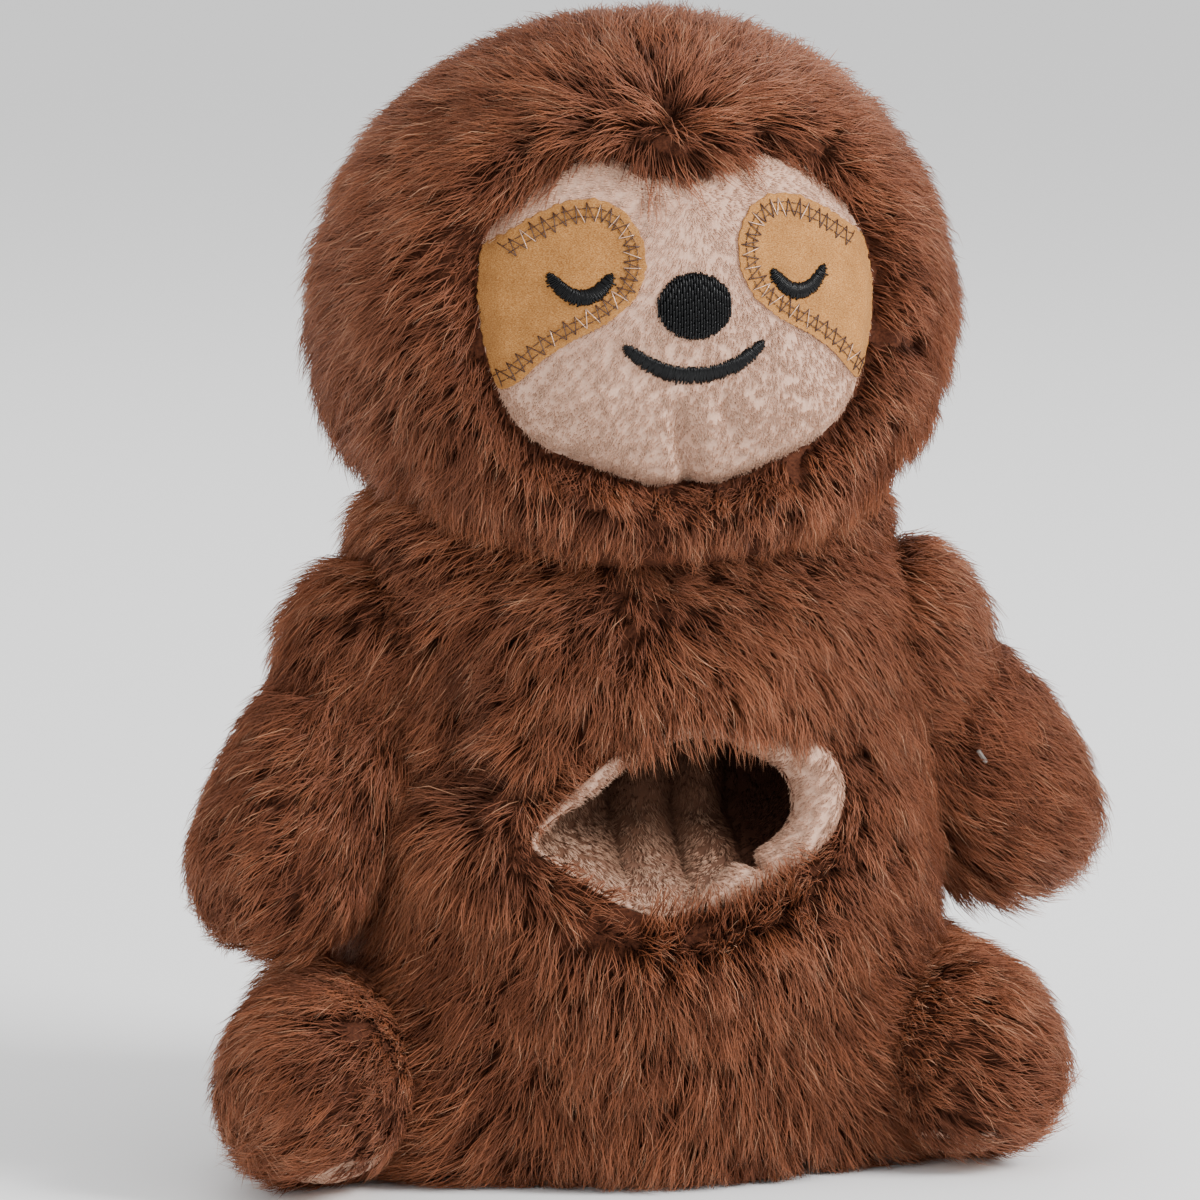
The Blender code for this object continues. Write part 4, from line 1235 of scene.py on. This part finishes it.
def pleats(x):
    """Rounded folds between sharp creases, from 0 at a crease to 1."""
    rise = np.zeros_like(x)
    for low, high in zip(PLEAT_CREASES[:-1], PLEAT_CREASES[1:]):
        share = (x - low) / (high - low)
        fold = np.sqrt(np.clip(np.sin(math.pi * np.clip(share, 0, 1)), 0, 1))
        rise = np.where((x >= low) & (x < high), fold, rise)
    return rise


def slanted(x, z):
    """How far across the lining a place is, along its slanting pleats."""
    return x - PLEAT_SLANT * (z - POCKET_CENTRE[1])


def lining_painted_shade(points):
    """Painted shade on the lining: pale at the lit lip, darker deep down, to the toy's left and in its
    creases, where shade falls.
    """
    x, z = points[:, 0], points[:, 2]
    across = slanted(x, z)
    lowest = POCKET.reach(np.full(len(x), -math.pi / 2))
    floor = POCKET_CENTRE[1] - lowest * (1 - 0.3 * np.abs(x) / POCKET_HALF_SIZES[0])
    height = (z - floor) / (2 * POCKET_HALF_SIZES[1])
    painted_shading = 1.0 - 0.60 * smooth_share(height * 1.1)
    painted_shading -= 0.10 * past(across, -0.014, 0.004) * smooth_share(height * 2)
    painted_shading *= 1 - 0.78 * past(across, 0.0105, 0.010) * past(height, 0.04, 0.16)
    painted_shading *= 1 - 0.60 * (1 - pleats(across)) * past(height, 0.05, 0.15)
    return np.clip(painted_shading, 0.02, 1.0)


def lip_inset(heights):
    """How deep the pocket's lip lies under the fur: deeper below and at the top than between."""
    low = short_of(heights, POCKET_CENTRE[1] - 0.002, 0.014)
    high = smooth_share((heights - POCKET_CENTRE[1] - 0.013) / 0.008)
    return 0.004 + 0.0034 * low + 0.0030 * high


def build_lining():
    """The pocket's lining, which sinks in upright pleats behind the mouth."""
    count = 240
    angle = even_angles(count)
    shares = np.linspace(0.02, 1.0, 70)
    flat = POCKET.rings(shares, count)
    x, z = flat[..., 0], flat[..., 1]
    low_side = smooth_share(0.5 - np.sin(angle) * 0.8)
    right_side = smooth_share(-np.cos(angle))
    power = 9.0 - 7.2 * low_side - 2.5 * right_side * (1 - low_side)
    sunk = 1 - shares[:, None] ** power[None, :]
    depth = POCKET_DEEPEST * sunk - PLEAT_RISE * pleats(slanted(x, z)) * smooth_share(sunk / 0.5)
    lining = np.stack((x, body_front(x, z, lip_inset(z)) + depth, z), axis=-1)
    bag = dress(grid_mesh("pocket_bag", closed_sheet(lining, CLOTH_THICKNESS)), "lining cloth", "body")
    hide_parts("pocket_lining")
    random = np.random.default_rng(SEEDS["lining"])
    paths, radii, shades = grow(lining, straight((0, 0, -1)), LONG_NAP, random, toward=(0, -1, 0))
    # The nap's shades take the lining's painted shade, with a little of their own variation
    shades = np.clip(lining_painted_shade(paths[:, 0]) + 0.25 * (shades - 0.5), 0, 1)
    dress(tube_mesh("pocket_nap", paths, radii, shades), "lining", "body")


def build_rim():
    """The mouth's rolled edge: puffy on the toy's left, thin on its right, creased below."""
    count = 240
    angle = even_angles(count)
    degrees = (np.degrees(angle) + 180) % 360 - 180
    size = softened(np.interp(degrees, *np.array(RIM_THICKNESS).T), 12)
    size *= 1 - 0.45 * bump(degrees, -36, 6)
    size *= 1 + 0.06 * wave_noise(circle(angle), 0.5, 11)
    edge = POCKET.rings((1.0,), count)[0]
    inward = unit(POCKET.centre - edge)
    flat = edge + inward * (size * 0.75)[:, None]
    y = body_front(flat[:, 0], flat[:, 1], lip_inset(flat[:, 1])) + size * 0.45
    middle = np.stack((flat[:, 0], y, flat[:, 1]), axis=1)
    inward = np.stack((inward[:, 0], np.zeros(count), inward[:, 1]), axis=1)
    back = np.array((0, 0.9, 0))
    out = np.array([inward * math.cos(turn) - back * math.sin(turn) for turn in even_angles(20)])
    roll = middle + out * size[:, None]
    rim = dress(loop_mesh("pocket_edge_roll", roll), "cream cloth", "body")
    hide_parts("pocket_rim")
    random = np.random.default_rng(SEEDS["rim"])
    closed = np.concatenate((roll, roll[:1]))
    nap = grow(closed, rim_comb, LONG_NAP, random, toward=np.concatenate((out, out[:1])))
    dress(tube_mesh("pocket_edge_nap", *nap), "edge", "body")


def build_base():
    """The flat panel under the body, with a rounded edge."""
    low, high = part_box("base_panel")
    # Shares of the panel's half sizes, then of its thickness
    round_edge = ((0.02, 0.1), (0.5, 0.1), (0.9, 0.1), (0.98, 0.25), (1, 0.6), (0.97, 0.95), (0.02, 1))
    rows = [
        (
            (0, 0, low.z + (high.z - low.z) * height),
            (high.x * share, 0, 0),
            (0, high.y * share, 0),
        )
        for share, height in round_edge
    ]
    panel = dress(grid_mesh("base_cloth", lofted(np.array(rows), 96)), "skin", "body")
    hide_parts("base_panel")


# Limbs

def build_limb(limb):
    word, sole = limb.word, limb.sole
    grid = limb.grid(LIMB_SKIN_DEPTH)
    skin = dress(grid_mesh(f"{word}_skin", grid), "skin", word)
    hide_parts(f"{word}_cover", f"{word}_filling")

    def keep(points):
        clear = ~inside_body(points, 0.020) & (points[:, 2] > 0.003)
        if sole:
            bare = (np.abs(points[:, 0]) > sole[0]) & (np.abs(points[:, 0]) < sole[1])
            clear &= ~(bare & (points[:, 1] < -0.04) & (points[:, 2] < 0.010))
        return clear

    def trim(points):
        travelled = limb.along(points)
        root_length, end_length = limb.lengths
        size = root_length + (end_length - root_length) * smooth_share(travelled / limb.length)
        size = np.where(inside_body(points, 0.008), HIDDEN_LENGTH, size)
        if not sole:
            return size
        middle = limb.root[0] + travelled * limb.axis[0]
        inner = (np.abs(middle) - np.abs(points[:, 0])) / limb.half_width
        return size * (1 - 0.55 * smooth_share(inner * 1.3))

    def halves(points):
        return (points[:, 1] > limb.root[1] + limb.along(points) * limb.axis[1]).astype(int)

    piles = (LIMB_GUARD, LIMB_UNDER)
    parts = {"names": ("front", "back"), "part_of": halves}
    two_layers(word, grid, limb.comb, keep, trim, piles=piles, **parts)


def build_sole(limb):
    """The cream sole: the foot's underside, up to where it curves at the toe."""
    word = limb.word.split("_")[1]
    grid = limb.grid(0.0025, 72, 120)
    low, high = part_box(f"sole_{word}")

    def keep(points):
        along = limb.along(points)
        top_height = np.where(along > 0.7 * limb.length, high.z - 0.003, 0.008)
        return (points[:, 2] < top_height) & (along > 0.0)

    points = grid.reshape(-1, 3)
    quads = grid_quads(*grid.shape[:2])
    kept = quads[keep(points[quads].mean(axis=1))]
    used, flat = np.unique(kept, return_inverse=True)
    top = points[used].copy()
    top[:, 2] = np.maximum(top[:, 2], low.z + FLOOR_CLEARANCE)
    sole = new_mesh(f"sole_plush_{word}", top, flat.ravel(), np.arange(len(kept)) * 4)
    sole.modifiers.new("thickness", "SOLIDIFY").thickness = 0.0012
    dress(sole, "cream cloth", limb.word)
    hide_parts(f"sole_{word}")
    random = np.random.default_rng(SEEDS["sole"])
    nap = grow(grid, straight(limb.axis * 0.3 + (1.0, 0, 0)), SOLE_NAP, random, keep)
    dress(tube_mesh(f"sole_nap_{word}", *nap), "cream", limb.word)


# Studio

def build_studio():
    """A plain pale floor, a pale surround and soft lights."""
    scene = bpy.context.scene
    world = bpy.data.worlds.new("studio")
    world.use_nodes = True
    back = world.node_tree.nodes["Background"]
    back.inputs["Color"].default_value = (1.0, 1.0, 1.0, 1.0)
    back.inputs["Strength"].default_value = SURROUND_STRENGTH
    scene.world = world
    mesh = bpy.data.meshes.new("floor")
    corners = [(FLOOR_REACH * x, FLOOR_REACH * y, 0) for x, y in ((-1, -1), (1, -1), (1, 1), (-1, 1))]
    mesh.from_pydata(corners, [], [(0, 1, 2, 3)])
    floor = bpy.data.objects.new("floor", mesh)
    scene.collection.objects.link(floor)
    look = Look("pale floor", 0.8, 0.2)
    look.shader.inputs["Base Color"].default_value = linear([FLOOR_GREY] * 3)
    mesh.materials.append(look.material)
    for name, place, size, power in LAMPS:
        light = bpy.data.lights.new(name, "AREA")
        light.size = size
        light.energy = power
        lamp = bpy.data.objects.new(name, light)
        lamp.location = place
        aim = Vector(LAMP_TARGET) - Vector(place)
        lamp.rotation_euler = aim.to_track_quat("-Z", "Y").to_euler()
        scene.collection.objects.link(lamp)


def build_camera():
    data = bpy.data.cameras.new("camera")
    data.sensor_width = SENSOR_WIDTH
    data.lens = SENSOR_WIDTH * CAMERA_DISTANCE / FRAME_WIDTH
    data.clip_start, data.clip_end = CAMERA_CLIPS
    camera = bpy.data.objects.new("camera", data)
    sine, cosine = math.sin(CAMERA_AZIMUTH), math.cos(CAMERA_AZIMUTH)
    level, rise = math.cos(CAMERA_ELEVATION), math.sin(CAMERA_ELEVATION)
    back = Vector((sine * level, -cosine * level, rise))
    right = Vector((cosine, sine, 0))
    up = back.cross(right)
    target = right * FRAME_CENTRE_ACROSS + up * FRAME_CENTRE_UP
    camera.location = target + back * CAMERA_DISTANCE
    camera.rotation_euler = back.to_track_quat("Z", "Y").to_euler()
    bpy.context.scene.collection.objects.link(camera)
    bpy.context.scene.camera = camera


def main():
    build_head()
    build_face()
    for word, turn in (("left", 1), ("right", -1)):
        build_patch(word)
        satin_line(f"closed_eye_{word}", EYE_ACROSS * turn, EYE, PATCH_THICKNESS)
    satin_line("mouth", 0.0, MOUTH, 0.0)
    build_nose()
    build_body()
    build_lining()
    build_rim()
    build_base()
    for limb in LIMBS:
        build_limb(limb)
        if limb.sole:
            build_sole(limb)
    for slot in frame["nodes"]["tag_bar"].material_slots:
        slot.material = MATERIALS["plastic"]
    build_studio()
    build_camera()


main()
